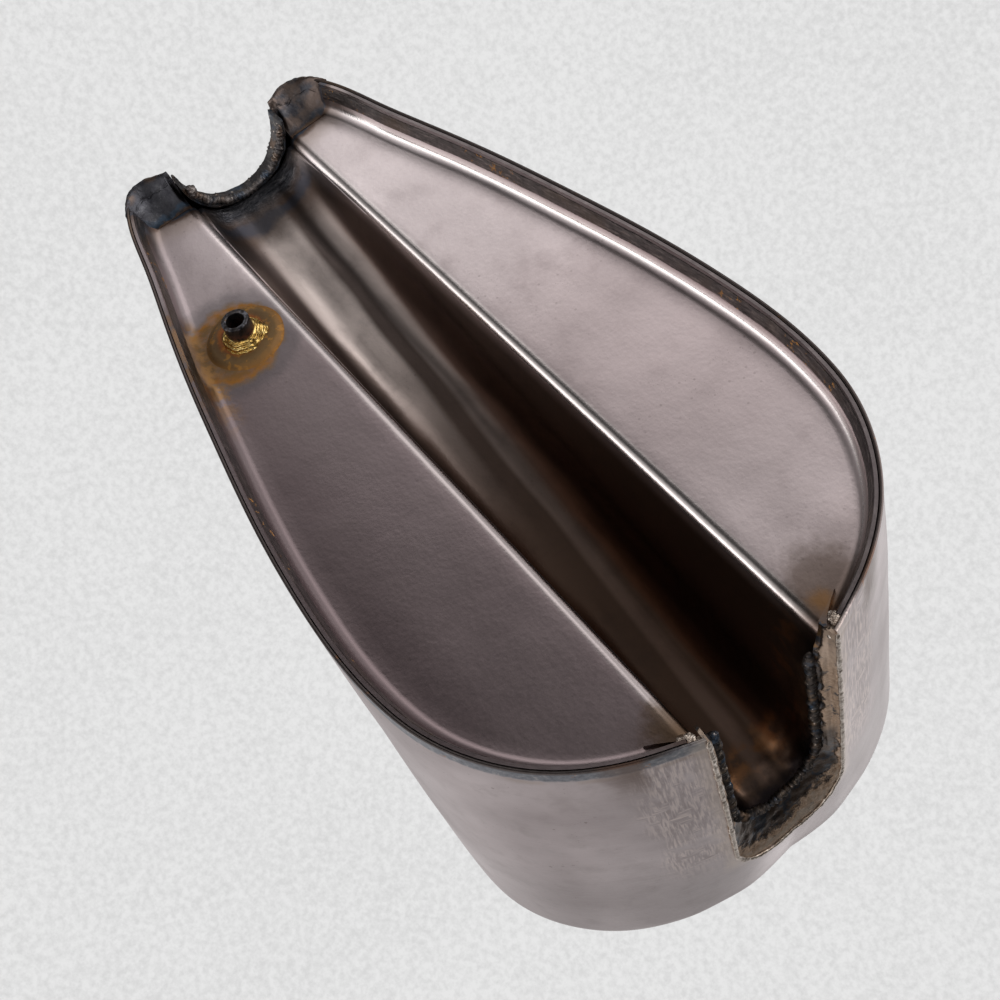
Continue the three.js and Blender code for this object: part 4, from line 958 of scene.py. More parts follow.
def build_skin():
    along, wall_rows, dome_rows = ((200, 20, 52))
    stations = np.linspace(0, RIM_LENGTH, along)
    levels = np.r_[np.linspace(0, WALL_SHARE, wall_rows, endpoint=False),
                   WALL_SHARE + (1 - WALL_SHARE) * np.linspace(0, 1, dome_rows + 1) ** 0.94]

    def face(inset):
        left = skin_grid(stations, levels, inset)
        right = left[1:-1][::-1].copy()
        right[..., 1] *= -1
        return np.concatenate([left, right])
    outer, inner = face(0.0), face(SHEET)
    rows, cols = outer.shape[:2]
    # rounded lip between the two faces
    lip = np.array([[lerp(outer[i, 0], inner[i, 0], t)
                     + np.array([0, 0, -0.35 * math.sin(math.pi * t)])
                     for t in (0.25, 0.5, 0.75)] for i in range(rows)])
    verts = np.vstack([outer.reshape(-1, 3), inner.reshape(-1, 3), lip.reshape(-1, 3)])
    inner_start, lip_start = rows * cols, 2 * rows * cols
    faces = []
    for i in range(rows):
        after = (i + 1) % rows
        a, b = i * cols, after * cols
        inner_a, inner_b = inner_start + a, inner_start + b
        for j in range(cols - 1):
            faces.append((a + j, a + j + 1, b + j + 1, b + j))
            faces.append((inner_a + j, inner_b + j, inner_b + j + 1, inner_a + j + 1))
        lip_a, lip_b = lip_start + i * 3, lip_start + after * 3
        faces.append((a, b, lip_b, lip_a))
        faces.append((lip_a, lip_b, lip_b + 1, lip_a + 1))
        faces.append((lip_a + 1, lip_b + 1, lip_b + 2, lip_a + 2))
        faces.append((lip_a + 2, lip_b + 2, inner_b, inner_a))
    skin = mesh_object("skin_shell", verts, faces, angle=None)
    cut(skin, arch_cutter(MOUTH_HALF, MOUTH_TOP, MOUTH_R, x_range=(380, 470),
                          corner_steps=16, wobble=0.5, seed=3))
    cut(skin, arch_cutter(NOTCH_R, NOTCH_R, NOTCH_R - 0.01, x_range=(-40, 30),
                          corner_steps=26, wobble=0.6, seed=9))
    cut(skin, round_cutter(NECK, NECK_R + GAP, CROWN_H - 30, CROWN_H + 30, segments=96))
    warp_skin(skin.data)
    shade(skin, 32)
    return skin


# ---------------------------------------------------------------- bottom pan
def tunnel_section(x):
    """(y, z) from the roof's centre down the left wall and round the bend to the floor."""
    arch_steps, wall_steps, bend_steps = 16, 6, 8
    t = float(clamp((x - TUNNEL_X[0]) / (TUNNEL_X[1] - TUNNEL_X[0])))
    half, rise = lerp(*TUNNEL_HALF, t), lerp(*ARCH_H, t)
    roof = lerp(*ROOF, (x - TUNNEL_X[0]) / (TUNNEL_X[1] - TUNNEL_X[0]))
    spring = roof - rise
    bend_z, bend_y, power = FLOOR_Z + RIDGE_R, RIDGE_Y - 0.6, 2 / ARCH_POWER
    end = math.pi / 2
    if spring < bend_z:
        end = math.acos(((bend_z - spring) / rise) ** (1 / power))
    points = [(0, roof), (ROOF_FLAT * 0.5, roof), (ROOF_FLAT, roof)]
    for i in range(1, arch_steps + 1):
        a = end * i / arch_steps
        points.append((ROOF_FLAT + (half - ROOF_FLAT) * math.sin(a) ** power,
                       spring + rise * max(0.0, math.cos(a)) ** power))
    arch_y, arch_z = points[-1]
    for k in range(1, wall_steps + 1):
        q = k / wall_steps
        points.append((lerp(arch_y, bend_y, q), lerp(arch_z, bend_z, q)))
    for i in range(1, bend_steps + 1):
        a = math.pi / 2 * i / bend_steps
        points.append((bend_y + RIDGE_R * (1 - math.cos(a)), bend_z - RIDGE_R * math.sin(a)))
    return points


def pan_column(s):
    """Left half of the pan at one rim station: tunnel, floor, then flange to the rim."""
    x, y, nx, ny = rim_floats(s)
    even_x = lerp(*TUNNEL_X, float(clamp((s - PAN_START) / (PAN_END - PAN_START))))
    tunnel_x = lerp(even_x, float(np.clip(x, *TUNNEL_X)), 0.85)
    tunnel = [np.array([tunnel_x, a, b]) for a, b in tunnel_section(tunnel_x)]

    def inset(depth, z):
        return np.array([x - nx * depth, y - ny * depth, z])
    base = FLANGE_INSET + LEAN
    flange = [inset(base + FLANGE_R, FLOOR_Z)]
    for k in range(1, 9):
        a = math.pi / 2 * k / 8
        flange.append(inset(base + FLANGE_R * (1 - math.sin(a)),
                            FLOOR_Z - FLANGE_R * (1 - math.cos(a))))
    for t in (0.25, 0.5, 0.75, 0.93):
        flange.append(inset(FLANGE_INSET + LEAN * (1 - t), 9 * (1 - t)))
    flange.append(inset(FLANGE_INSET + 0.12, 0.12))
    floor = [lerp(tunnel[-1], flange[0], (w - 0.5) * 0.96 + 0.5)
             for w in np.linspace(0, 1, 14)[1:-1]]
    return tunnel + floor + flange


def warp_pan_point(point):
    """Floors slightly oil-canned; lengthwise creases in the tunnel, crumpled at its front."""
    x, y, z = point
    side = abs(y)
    if side > 38 and z > FLOOR_Z - 0.5:
        middle = 1 - abs((side - 38) / 62 * 2 - 1)
        point[2] += (0.45 * max(0, middle) * noise_at(x / 70, y / 55, 3.0)
                     + 0.06 * noise_at(x / 16, y / 16, 9.0))
    elif side < 31 and z > 22:
        w = min(1, (z - 22) / 12)
        point[2] += w * (0.55 * noise_at(x / 120, y / 7.0, z / 14)
                         + 0.25 * noise_at(x / 26, y / 11, z / 11))
        point[1] += w * 0.35 * noise_at(x / 110, y / 9.0, z / 6.5 + 5)
        front = ease((x - 384) / 26) * ease((z - 24) / 14)
        if front > 0:
            point[1] += front * (2.3 * noise_at(x / 15, y / 12, z / 19 + 2)
                                 + 0.5 * noise_at(x / 4.5, y / 5, z / 5))
            point[2] += front * (1.8 * noise_at(x / 14, y / 13, z / 17 + 8)
                                 + 0.5 * noise_at(x / 4.5, y / 5, z / 5 + 3))


def build_pan():
    stations = np.linspace(PAN_START, PAN_END, 240)
    left = np.array([pan_column(s) for s in stations])
    low = np.concatenate([(left[:, 1:] * (1, -1, 1))[:, ::-1], left], axis=1)
    for column in low:
        for point in column:
            warp_pan_point(point)
    high = low + grid_normals(low) * SHEET
    high[:, (0, -1), 2] = 0.1
    pan = sheet("pan_shell", low, high, angle=40)
    cut(pan, round_cutter(OUTLET, PIPE_R + GAP, 5, 25, segments=48))
    shade(pan, 40)
    return pan


def build_seam(name, side):
    """Rippled weld track on the flange's outer face; side is 1 left, -1 right."""
    sections = []
    for s in np.linspace(PAN_START + 2, PAN_END - 2, 1000):
        x, y, nx, ny = rim_floats(s)
        ripple = (0.20 * math.sin(2 * math.pi * s / 2.6 + 1.4 * noise_at(s / 9, 3.0, side))
                  + 0.45 * noise_at(s / 7.0, 1.7, side * 2))
        drift = 0.55 * noise_at(s / 12.0, 7.7, side * 3)

        def at(height, z):
            depth = FLANGE_INSET + LEAN * max(0, min(1, z / 9)) + 0.02 + height
            return (x - nx * depth, side * (y - ny * depth), z)
        thick = 0.42 * (1 + 0.45 * ripple)
        low, high = 1.9 + 0.35 * drift, 8.2 + drift * 0.6
        section = [at(-0.3, low)]
        for k, z in enumerate(np.linspace(low, high, 7)):
            crown = math.sin(math.pi * (0.12 + 0.76 * k / 6)) ** 0.6
            section.append(at(thick * crown + 0.12 * noise_at(s / 2.2, z / 1.4, side * 5), z))
        section.append(at(-0.3, high))
        sections.append(section)
    return tube(name, sections, angle=60)


# ---------------------------------------------------------------- tail
def arch_point(a, half, height, power):
    e = 2 / power
    c = math.cos(a)
    return math.copysign(half * abs(c) ** e, c), height * max(0.0, math.sin(a)) ** e


def build_saddle():
    """Arched plate from the notch in the tail forward to the tunnel."""
    around, along = ((120, 14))
    low, high = [], []
    for i in range(along + 1):
        t = i / along
        low_row, high_row = [], []
        for j in range(around + 1):
            a = lerp(0.09, math.pi - 0.09, j / around)
            rear_y, rear_z = arch_point(a, SADDLE_R, SADDLE_R, 2)
            front_y, front_z = arch_point(a, 30.6, 30.4, 2.25)
            y, z = lerp(rear_y, front_y, t ** 1.5), lerp(rear_z, front_z, t ** 1.5)
            x = lerp(rear_rim_x(rear_y) - 0.8 + 0.9 * noise_at(a * 4, 1, 1),
                     SADDLE_FRONT + 0.8 + 0.8 * noise_at(a * 5, 4, 2), t)
            r = math.hypot(y, z)
            dent = 0.5 * noise_at(x / 5, y / 6, z / 6) + 0.22 * noise_at(x / 2, y / 2, z / 2)
            edge = 0.55 * (max(0, 1 - t * 5) ** 2 + max(0, (t - 0.8) * 5) ** 2)
            for row, radius in ((low_row, r + dent + edge), (high_row, r + SADDLE_T - edge)):
                row.append((x, y * radius / r, z * radius / r))
        low.append(low_row)
        high.append(high_row)
    return sheet("saddle", np.array(low), np.array(high), angle=60)


def build_tail_end(name, side, seed):
    """Lump at the tail, rolled over the lip and run down to the floor's rear edge."""
    along, across = ((90, 76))
    roll = 0.12                                # share of the width rolled over the lip
    start, end = rear_rim(32.6), PAN_START + 3
    low, high = [], []
    for i in range(along + 1):
        t = i / along
        x, y, nx, ny = rim_floats(lerp(start, end, t))
        lip_x, lip_y = x + nx * 0.55, y + ny * 0.55
        floor_x, floor_y = 21.2, lerp(32.4, 61.0, t)
        thin = ease(t / 0.10) * ease((1 - t) / 0.22)
        low_row, high_row = [], []
        for j in range(across + 1):
            w = j / across
            if w < roll:
                turn = w / roll * math.pi / 2
                q = 0.05 * (1 - math.cos(turn))
                pz = 4.2 - 5.0 * math.sin(turn)
            else:
                run = (w - roll) / (1 - roll)
                q = 0.05 + 0.95 * run
                steep, slow = ease((run - 0.04) / 0.28), ease((run - 0.05) / 0.95)
                pz = min(-0.8 + 15.6 * lerp(steep, slow, 0.30 + 0.62 * thin), 14.9)
            px, py = lerp(lip_x, floor_x, q), lerp(lip_y, floor_y, q)
            coarse = noise_at(px / 6.5, py / 7.5, seed)
            fine = noise_at(px / 2.0, py / 2.6, seed + 4)
            crack = 0.0
            if roll < w < 0.9:
                off = abs(w - 0.42 - 0.12 * noise_at(py / 5.5, seed, 2.0))
                crack = (0.75 * math.exp(-(off / 0.018) ** 2)
                         * ease((noise_at(py / 4.0, seed, 6.0) + 0.25) * 3))
            calm = ease(w / 0.1) * ease((1 - w) / 0.08)
            pz += calm * (0.75 * coarse + 0.22 * fine + crack)
            px += 0.25 * fine * calm
            low_row.append((px, side * py, pz))
            high_row.append((min(px + 1.3, 21.6), side * (py - 0.3), pz + 2.2 + 0.9 * (w > roll)))
        low.append(low_row)
        high.append(high_row)
    return sheet(name, np.array(low), np.array(high), angle=60)


def arc_path(radius, x_at, margin):
    """Half circle across the tail, from left to right, stopped short by margin radians."""
    return [(x_at(radius * math.cos(a)), radius * math.cos(a), radius * math.sin(a))
            for a in np.linspace(margin, math.pi - margin, 80)]


# ---------------------------------------------------------------- front mouth
# tunnel's front edge: half width, arch height, top, half width at its foot
TUNNEL_END = np.array([TUNNEL_HALF[1], ARCH_H[1], ROOF[1], 29.7])


def mouth_path(low, inner, outer_inset):
    """Pairs of (y, z) on the tunnel's edge and on the cut in the skin, left to right."""
    half, rise, top, foot_half = (float(v) for v in inner)
    cut_half, cut_r, cut_top = (v - outer_inset for v in (MOUTH_HALF, MOUTH_R, MOUTH_TOP))
    spring, cut_spring = top - rise, cut_top - cut_r
    wall_steps, arc_steps, top_steps, power = 26, 34, 8, 2 / ARCH_POWER
    pairs = []
    for i in range(wall_steps + 1):
        q = i / wall_steps
        z = lerp(low, spring, q)
        flare = (foot_half - half) * min(1, max(0, (22 - z) / 18))
        pairs.append(((half + flare, z), (cut_half, lerp(low, cut_spring, q))))
    for i in range(1, arc_steps + 1):
        a = math.pi / 2 * i / arc_steps
        c, s = math.cos(a), math.sin(a)
        pairs.append(((half * max(0, c) ** power, spring + rise * s ** power),
                      (cut_half - cut_r + cut_r * c, cut_spring + cut_r * s)))
    (inner_y, inner_z), (outer_y, outer_z) = pairs[-1]
    for k in range(1, top_steps + 1):
        q = k / top_steps
        pairs.append(((inner_y * (1 - q), inner_z), (outer_y * (1 - q), outer_z)))
    return pairs + [((-a[0], a[1]), (-b[0], b[1])) for a, b in pairs[-2::-1]]


def build_mouth_strip():
    """Strip from the tunnel's edge to the cut: a wrinkled lap, a step, then a calmer band."""
    path = mouth_path(2, TUNNEL_END + (0.3, 0, 0.2, 0), outer_inset=1.0)
    rows = 18
    spring = ROOF[1] - ARCH_H[1]
    grid = []
    for k in range(rows + 1):
        t = k / rows
        row = []
        for i, ((inner_y, inner_z), (outer_y, outer_z)) in enumerate(path):
            y, z = lerp(inner_y, outer_y, t), lerp(inner_z, outer_z, t)
            x = lerp(TUNNEL_X[1] + 1.0, skin_x_front(outer_y, outer_z) - 0.35, t)
            out = np.array([y, z - min(z, spring)])
            out /= np.linalg.norm(out) + 1e-9
            calm = ease(min(i, len(path) - 1 - i) / 7.0)
            push = calm * (1.3 * ease((t - 0.42) / 0.14) - 0.65)
            push += (calm * 0.9 * noise_at(y / 7, z / 7, x / 3) * (1 - 0.6 * t)
                     + calm * 0.35 * noise_at(y / 2.4, z / 2.4, x / 2))
            y, z = y + out[0] * push, z + out[1] * push
            row.append((x + calm * 0.5 * noise_at(y / 4, z / 4, 8), y, z))
        grid.append(row)
    grid = np.array(grid)
    normal = grid_normals(grid)
    axis = np.stack([grid[..., 0], np.zeros(grid.shape[:2]),
                     np.minimum(grid[..., 2], spring)], -1)
    outward = np.sign(np.sum(normal * (grid - axis), axis=2, keepdims=True))
    outward[outward == 0] = 1
    return sheet("mouth_liner", grid, grid + normal * outward * SHEET, angle=60)


def build_mouth_bead():
    path = [(skin_x_front(y, z) + 0.35, y, z)
            for _, (y, z) in mouth_path(1.0, TUNNEL_END, outer_inset=0.2)]
    return weld("mouth_bead", path, 1.15, 0.62, seed=3.0, amp=0.10, wander=0.35, ripple=3.1)


def build_tunnel_bead():
    path = [(TUNNEL_X[1] + 0.4, y, z)
            for (y, z), _ in mouth_path(22.0, TUNNEL_END - 1.5, outer_inset=0.2)]
    return weld("tunnel_bead", path, 2.1, 1.8, seed=4.0, amp=0.28, wander=1.3)


def build_corner(name, side, seed):
    """Three blobs at the foot of the mouth."""
    return join(name, [blob((422.8, side * 35.4, 4.6), (3.2, 2.6, 4.6), seed),
                       blob((424.6, side * 32.6, 6.8), (2.4, 2.6, 3.2), seed + 2),
                       blob((419.8, side * 37.4, 8.4), (2.6, 1.9, 3.0), seed + 4)])


# ---------------------------------------------------------------- outlet
def build_nipple():
    profile = [(PIPE_BORE, PIPE_LOW + 0.5), (PIPE_BORE + 0.4, PIPE_LOW),
               (PIPE_R - 0.6, PIPE_LOW), (PIPE_R - 0.1, PIPE_LOW + 0.35),
               (PIPE_R, PIPE_LOW + 0.8)]
    profile += [(PIPE_R, z) for z in np.linspace(PIPE_LOW + 1.6, PIPE_HIGH, 16)]
    profile += [(PIPE_BORE, PIPE_HIGH)]
    profile += [(PIPE_BORE, z) for z in np.linspace(PIPE_HIGH - 2, PIPE_LOW + 3, 6)]

    def radial(r, z, turn):
        return r * (1 + 0.012 * noise_at(3 * math.cos(turn), 3 * math.sin(turn), z / 3))
    return turned("nipple_pipe", profile, 72, OUTLET, radial=radial)


def build_disc():
    """Shallow boss round the pipe, sloped up to the floor at its edge."""
    flat_r, slope = 15.8, 4.6
    profile = [(PIPE_R + 0.2, FLOOR_Z + 0.3), (PIPE_R + 0.2, DISC_FACE)]
    profile += [(r, DISC_FACE) for r in np.linspace(PIPE_R + 2, flat_r, 10)]
    profile += [(flat_r + slope * k / 10, DISC_FACE + 2.0 * ease(k / 10)) for k in range(1, 11)]
    profile += [(flat_r + slope, FLOOR_Z + 0.3)]

    def radial(r, z, turn):
        if r < PIPE_R + 1:
            return r
        return r * (1 + 0.02 * noise_at(1.4 * math.cos(turn), 1.4 * math.sin(turn), 2.0))
    return turned("outlet_boss", profile, 128, OUTLET, radial=radial)


def lump_at(turn, centre, width):
    return math.exp(-(((turn - centre + math.pi) % (2 * math.pi) - math.pi) / width) ** 2)


def build_braze():
    """Folded fillet between pipe and disc, with lumps at two angles."""
    steps, lump_angle = 22, 5.15
    profile = [(PIPE_R - 0.2, DISC_FACE + 0.4), (PIPE_R - 0.2, DISC_FACE - 4.3)]
    for k in range(steps + 1):
        q = k / steps
        profile.append((PIPE_R + 0.12 + 3.7 * q,
                        DISC_FACE - 4.1 * (1 - q) ** 1.25 - 0.55 * math.sin(math.pi * q)))
    profile.append((PIPE_R + 3.85, DISC_FACE + 0.4))

    def radial(r, z, turn):
        if r < PIPE_R + 0.05:
            return r
        c, s = math.cos(turn), math.sin(turn)
        return r + (r - PIPE_R) / 3.4 * (
            0.7 * noise_at(1.6 * c, 1.6 * s, 1) + 0.45 * noise_at(5 * c, 5 * s, 3)
            + 2.0 * lump_at(turn, lump_angle, 0.30) + 0.9 * lump_at(turn, 0.3, 0.5))
    braze = turned("braze_fillet", profile, 220, OUTLET, angle=75, radial=radial)
    for v in braze.data.vertices:
        x = v.co[0] * 1000 + ORIGIN[0] - OUTLET[0]
        y = v.co[1] * 1000 + ORIGIN[1] - OUTLET[1]
        out = math.hypot(x, y) - PIPE_R
        if out > 0.05 and v.co[2] * 1000 + ORIGIN[2] < DISC_FACE + 0.2:
            turn = math.atan2(y, x)
            bend = noise_at(2.2 * math.cos(turn), 2.2 * math.sin(turn), 5)
            fold = 0.42 * math.sin(2 * math.pi * out / 1.35 + 5.2 * bend)
            lump = 1.1 * lump_at(turn, lump_angle, 0.28) * min(1, max(0, (out - 1.0) / 1.5))
            drop = 0.30 + fold + 0.45 * noise_at(x / 1.8, y / 1.8, 5) + lump
            v.co[2] -= min(1, out / 1.2) * drop / 1000
    braze.data.update()
    return braze


# ---------------------------------------------------------------- filler neck and cap
def build_neck_thread():
    """Inner thread, faded into the bore at both ends."""
    # radius, height above the thread's middle
    profile = [(26.3, -1.1), (26.3, 1.1), (24.6, 0.45), (24.6, -0.45)]
    root, turns, pitch, per_turn = profile[0][0], 2.4, 5, 72
    last = int(turns * per_turn)
    sections = []
    for i in range(last + 1):
        turn = 2 * math.pi * i / per_turn
        fade = min(1, min(i, last - i) / (per_turn * 0.12) + 0.05)
        z = NECK_LOW + 3.5 + pitch * i / per_turn
        sections.append([(NECK[0] + (root + (r - root) * fade) * math.cos(turn),
                          NECK[1] + (root + (r - root) * fade) * math.sin(turn), z + rise)
                         for r, rise in profile])
    return tube("neck_thread", sections)


def build_neck():
    profile = round_corners([(NECK_BORE, NECK_LOW), (NECK_R, NECK_LOW), (NECK_R, NECK_HIGH),
                             (NECK_BORE, NECK_HIGH)], radius=0.8, steps=6)
    return join("neck_body", [turned("neck_ring", profile, 192, NECK), build_neck_thread()])


def build_neck_bead():
    ring = [(NECK[0] + 31.8 * math.cos(a), NECK[1] + 31.8 * math.sin(a), CROWN_H + 1.4)
            for a in np.linspace(0, 2 * math.pi, 240)]
    return weld("neck_bead", ring, 2.1, 1.9, seed=6.0, amp=0.16, wander=0.35,
                up=(0, 0, 1), taper=0)


def build_cover():
    """Domed cap cover with sixteen flutes down its skirt."""
    dome_r = 29.5
    profile = [(0, COVER_TOP + 7.1)]
    profile += [(r, COVER_TOP + 7.1 - 4.2 * (r / dome_r) ** 2.0)
                for r in np.linspace(2, dome_r, 18)]
    # shoulder: radius, height over the cover's top level
    profile += [(r, COVER_TOP + rise) for r, rise in (
        (31.4, 2.35), (32.9, 1.6), (34.1, 0.75), (35.2, -0.3), (36.0, -1.4), (36.6, -2.7),
        (36.9, -4.0))]
    profile += [(37.0, z) for z in np.linspace(COVER_TOP - 5, COVER_LOW + 0.5, 10)]
    # rolled lower edge: radius, height over the edge
    profile += [(r, COVER_LOW + rise) for r, rise in (
        (36.8, 0.1), (36.4, 0), (35.9, 0), (35.5, 0.15), (35.4, 0.6), (35.4, 3))]
    # inside: radius, height over the cover's top level
    profile += [(r, COVER_TOP + rise) for r, rise in (
        (35.4, -6), (35.2, -4.4), (34.2, -2.6), (31.6, -0.8), (28, 0), (12, 0), (0, 0))]

    def radial(r, z, turn):
        if r > 35.6 and z < COVER_TOP - 0.5:
            depth = min(1, max(0, (COVER_TOP - 0.8 - z) / 3.2))
            return r - 0.85 * depth * (0.5 + 0.5 * math.cos(16 * turn)) ** 1.6
        return r
    return turned("chrome_cover", profile, 320, NECK, angle=45, radial=radial)


# ---------------------------------------------------------------- put the pieces in
def add(piece, material, replaced, body="tank"):
    piece.data.materials.clear()
    piece.data.materials.append(material)
    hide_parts(replaced)
    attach(piece, body)


SIDES = ((1, "left"), (-1, "right"))

add(build_skin(), skin_steel(), "outer_skin")
add(build_pan(), pan_steel(), "bottom_pan")
for side, word in SIDES:
    add(build_seam("seam_" + word[0], side), seam_track(), "seam_weld_" + word)
add(build_saddle(),
    scale_steel("saddle_scale", dark=(0.035, 0.036, 0.042), middle=(0.085, 0.08, 0.08),
                light=(0.20, 0.185, 0.17), seed=50),
    "tail_saddle")
add(weld("saddle_bead", arc_path(29.2, lambda y: SADDLE_FRONT + 0.6, margin=0.14), 1.9, 2.1,
         seed=1.0, amp=0.22, wander=0.9),
    weld_bead(), "tail_saddle_weld")
add(weld("notch_bead", arc_path(33.6, lambda y: rear_rim_x(y) - 0.9, margin=0.12), 2.0, 1.9,
         seed=2.0, amp=0.2, wander=0.9),
    weld_bead(), "tail_notch_weld")
for (side, word), seed in zip(SIDES, (4.0, 8.0)):
    add(build_tail_end("tail_end_" + word[0], side, seed), weld_lump(),
        "tail_weld_" + word)
add(build_mouth_strip(), mouth_strip_steel(), "mouth_strip")
add(build_mouth_bead(), bright_weld("mouth_bead", seed=72), "mouth_weld")
add(build_tunnel_bead(),
    scale_steel("tunnel_bead", dark=(0.02, 0.02, 0.022), middle=(0.06, 0.05, 0.045),
                light=(0.26, 0.19, 0.13), seed=64),
    "tunnel_mouth_weld")
for (side, word), seed in zip(SIDES, (11.0, 14.0)):
    add(build_corner("corner_" + word, side, seed), bright_weld("ground_weld", seed=70),
        "mouth_corner_weld_" + word)
add(build_disc(), rusted_disc(), "outlet_disc")
add(build_nipple(), nipple_scale(), "outlet_nipple")
add(build_braze(), braze_brass(), "outlet_braze")
add(build_neck(),
    plain("neck_steel", (0.56, 0.53, 0.52), rough=0.34, grain=1.2, seed=101,
          stretch=(1, 1, 0.3)),
    "filler_neck")
add(build_neck_bead(),
    scale_steel("neck_bead", dark=(0.07, 0.06, 0.055), middle=(0.20, 0.18, 0.165),
                light=(0.46, 0.42, 0.38), seed=66),
    "filler_neck_weld")
add(build_cover(),
    plain("cap_chrome", (0.80, 0.81, 0.83), rough=0.10, grain=2.4, seed=103, amount=0.03,
          bump=0.02),
    "cap_cover", body="cap")

# cap pieces that keep their CAD shape
rubber = plain("cap_rubber", (0.030, 0.028, 0.027), rough=0.75, grain=1.1, seed=109, metal=0.0)
for node, material in (
        ("cap_plug", plain("cap_plug_metal", (0.58, 0.585, 0.60), rough=0.36, grain=1.4,
                           seed=105)),
        ("cap_washer", plain("washer_steel", (0.62, 0.62, 0.63), rough=0.30, grain=1.2,
                             seed=107)),
        ("cap_gasket", rubber),
        ("cap_vent_valve", rubber)):
    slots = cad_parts[node].data.materials
    slots.clear()
    slots.append(material)

# ---------------------------------------------------------------- world, light, floor, camera
# Soft patches of light all round: direction, spread, gain. A spread is the cosine of the
# angle from the direction where the patch starts, and where it is full.
WIDE, NARROW = (0.809, 0.9945), (0.940, 0.9976)
LIGHT_PATCHES = (
    ((0.31, -0.81, -0.5), WIDE, 2.498), ((0.31, 0.81, -0.5), WIDE, 1.383),
    ((-0.53, 0.85, 0), WIDE, 1.300), ((-0.62, -0.42, -0.66), NARROW, 0.869),
    ((0, -0.53, 0.85), WIDE, 0.744), ((0, -1, 0), WIDE, 0.712),
    ((0.81, 0.5, -0.31), WIDE, 0.697), ((0.31, 0.81, 0.5), WIDE, 0.621),
    ((0, 1, 0), WIDE, 0.605), ((-0.77, -0.16, -0.62), NARROW, 0.583),
    ((-0.31, -0.81, -0.5), WIDE, 0.558), ((-0.31, 0.81, 0.5), WIDE, 0.462),
    ((-0.5, 0.31, 0.81), WIDE, 0.416), ((-0.31, 0.81, -0.5), WIDE, 0.353),
    ((0.5, 0.31, -0.81), WIDE, 0.268), ((0, 0, 1), WIDE, 0.239),
    ((0, -0.53, -0.85), WIDE, 0.238), ((0.5, 0.31, 0.81), WIDE, 0.236),
    ((-0.31, -0.81, 0.5), WIDE, 0.211), ((-0.85, 0, 0.53), WIDE, 0.166),
    ((-0.36, -0.42, -0.83), NARROW, 0.165), ((0, 0.53, 0.85), WIDE, 0.164),
    ((-0.5, -0.31, 0.81), WIDE, 0.150), ((0.85, 0, -0.53), WIDE, 0.130),
    ((-0.81, 0.5, -0.31), WIDE, 0.130))
AMBIENT = 0.03
LIGHT_TINT = (1.0, 0.985, 0.985)


def build_world():
    """Light patches for the pieces, pale mottled plaster for the camera."""
    world = bpy.data.worlds.new("studio")
    bpy.context.scene.world = world
    graph = Graph(world)
    # Incoming points back at the viewer; the ray's direction is its opposite
    incoming = graph.node("ShaderNodeNewGeometry", {}, out="Incoming")
    ray = graph.node("ShaderNodeVectorMath", {0: incoming, "Scale": -1.0}, operation="SCALE")
    total = AMBIENT
    for direction, spread, gain in LIGHT_PATCHES:
        facing = graph.vector_math("DOT_PRODUCT", ray, Vector(direction).normalized())
        total = facing.step(*spread) * gain + total
    tinted = graph.node("ShaderNodeCombineColor",
                        {i: total * tint for i, tint in enumerate(LIGHT_TINT)})
    light = graph.node("ShaderNodeBackground", {0: tinted})
    grain = graph.node("ShaderNodeTexNoise", {
        "Vector": ray, "Scale": 230, "Detail": 7, "Roughness": 0.62})
    cloud = graph.node("ShaderNodeTexNoise", {"Vector": ray, "Scale": 7})
    plaster = graph.ramp(grain * 0.88 + cloud * 0.12, [
        (0.35, (0.685, 0.685, 0.685)), (0.60, (0.80, 0.80, 0.80))], "LINEAR")
    backdrop = graph.node("ShaderNodeBackground", {0: plaster})
    to_camera = graph.node("ShaderNodeLightPath", {}, out="Is Camera Ray")
    graph.finish("ShaderNodeOutputWorld",
                 graph.node("ShaderNodeMixShader", {0: to_camera, 1: light, 2: backdrop}))


def build_top_light():
    """Weak square light over the tank (metres, watts)."""
    light = bpy.data.lights.new("top_box", "AREA")
    light.shape, light.size, light.size_y, light.energy = "RECTANGLE", 1.2, 1.2, 1.5
    lamp = new_object("top_box", light)
    lamp.location = (0.1, -0.2, 1.5)
    toward_origin = -Vector((0.1, -0.2, 1.5))
    lamp.rotation_euler = toward_origin.to_track_quat("-Z", "Y").to_euler()
    lamp.visible_camera = False


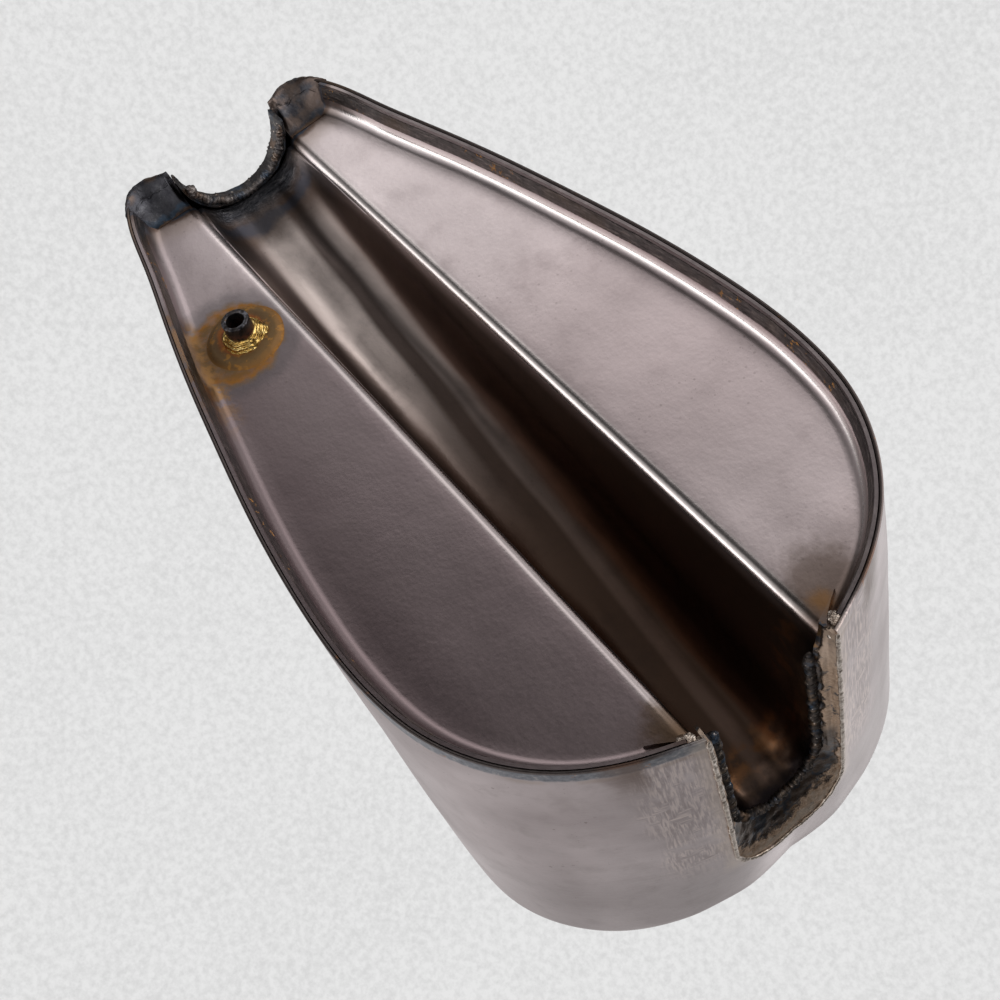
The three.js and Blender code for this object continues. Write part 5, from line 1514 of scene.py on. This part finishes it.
def floor_material():
    """Pale and slightly glowing from above, clear from below."""
    material = bpy.data.materials.new("pale_floor")
    graph = Graph(material)
    place = graph.node("ShaderNodeTexCoord", {}, out="Object")
    mottle = graph.node("ShaderNodeTexNoise", {"Vector": place, "Scale": 9, "Detail": 6})
    colour = graph.ramp(mottle, [(0.3, (0.70, 0.69, 0.685)), (0.7, (0.78, 0.775, 0.77))],
                        "LINEAR")
    diffuse = graph.node("ShaderNodeBsdfDiffuse", {0: colour})
    glow = graph.node("ShaderNodeEmission", {0: colour, "Strength": 0.30})
    lit = graph.node("ShaderNodeAddShader", {0: diffuse, 1: glow})
    clear = graph.node("ShaderNodeBsdfTransparent", {})
    below = graph.node("ShaderNodeNewGeometry", {}, out="Backfacing")
    graph.finish("ShaderNodeOutputMaterial",
                 graph.node("ShaderNodeMixShader", {0: below, 1: lit, 2: clear}))
    return material


def build_floor():
    """Round floor 3 mm under the rim (radius in metres)."""
    radius, sides = 4.0, 48
    z = (-3.0 - ORIGIN[2]) / 1000
    mesh = bpy.data.meshes.new("floor")
    turns = [2 * math.pi * i / sides for i in range(sides)]
    mesh.from_pydata([(radius * math.cos(t), radius * math.sin(t), z) for t in turns],
                     [], [tuple(range(sides))])
    floor = new_object("floor", mesh)
    mesh.materials.append(floor_material())
    floor.visible_diffuse = floor.visible_glossy = False
    floor.visible_shadow = floor.visible_transmission = False


def build_camera():
    """Below and ahead of the tank, looking up and back at its underside."""
    camera = new_object("camera", bpy.data.cameras.new("camera"))
    right = Vector((0.5860418024765626, -0.7801115469079363, 0.21904561198738542))
    down = Vector((0.6063168052449839, 0.6015300298970894, 0.5201360925849342))
    forward = Vector((-0.5375266853166808, -0.17201045756846733, 0.825516483820613))
    place = Vector((604.3448466654436, 121.39574184293988, -476.3019233189061))
    matrix = Matrix((right, -down, -forward)).transposed().to_4x4()
    matrix.translation = (place - Vector(ORIGIN)) / 1000
    camera.matrix_world = matrix
    lens = camera.data
    lens.sensor_width, lens.lens = 36, 50.753
    lens.shift_x, lens.shift_y = -0.00773, -0.00227
    lens.clip_start, lens.clip_end = 0.01, 50
    bpy.context.scene.camera = camera


build_world()
build_top_light()
build_floor()
build_camera()
view = bpy.context.scene.view_settings
view.view_transform = "Standard"
view.look = "None"
view.exposure = 0.0

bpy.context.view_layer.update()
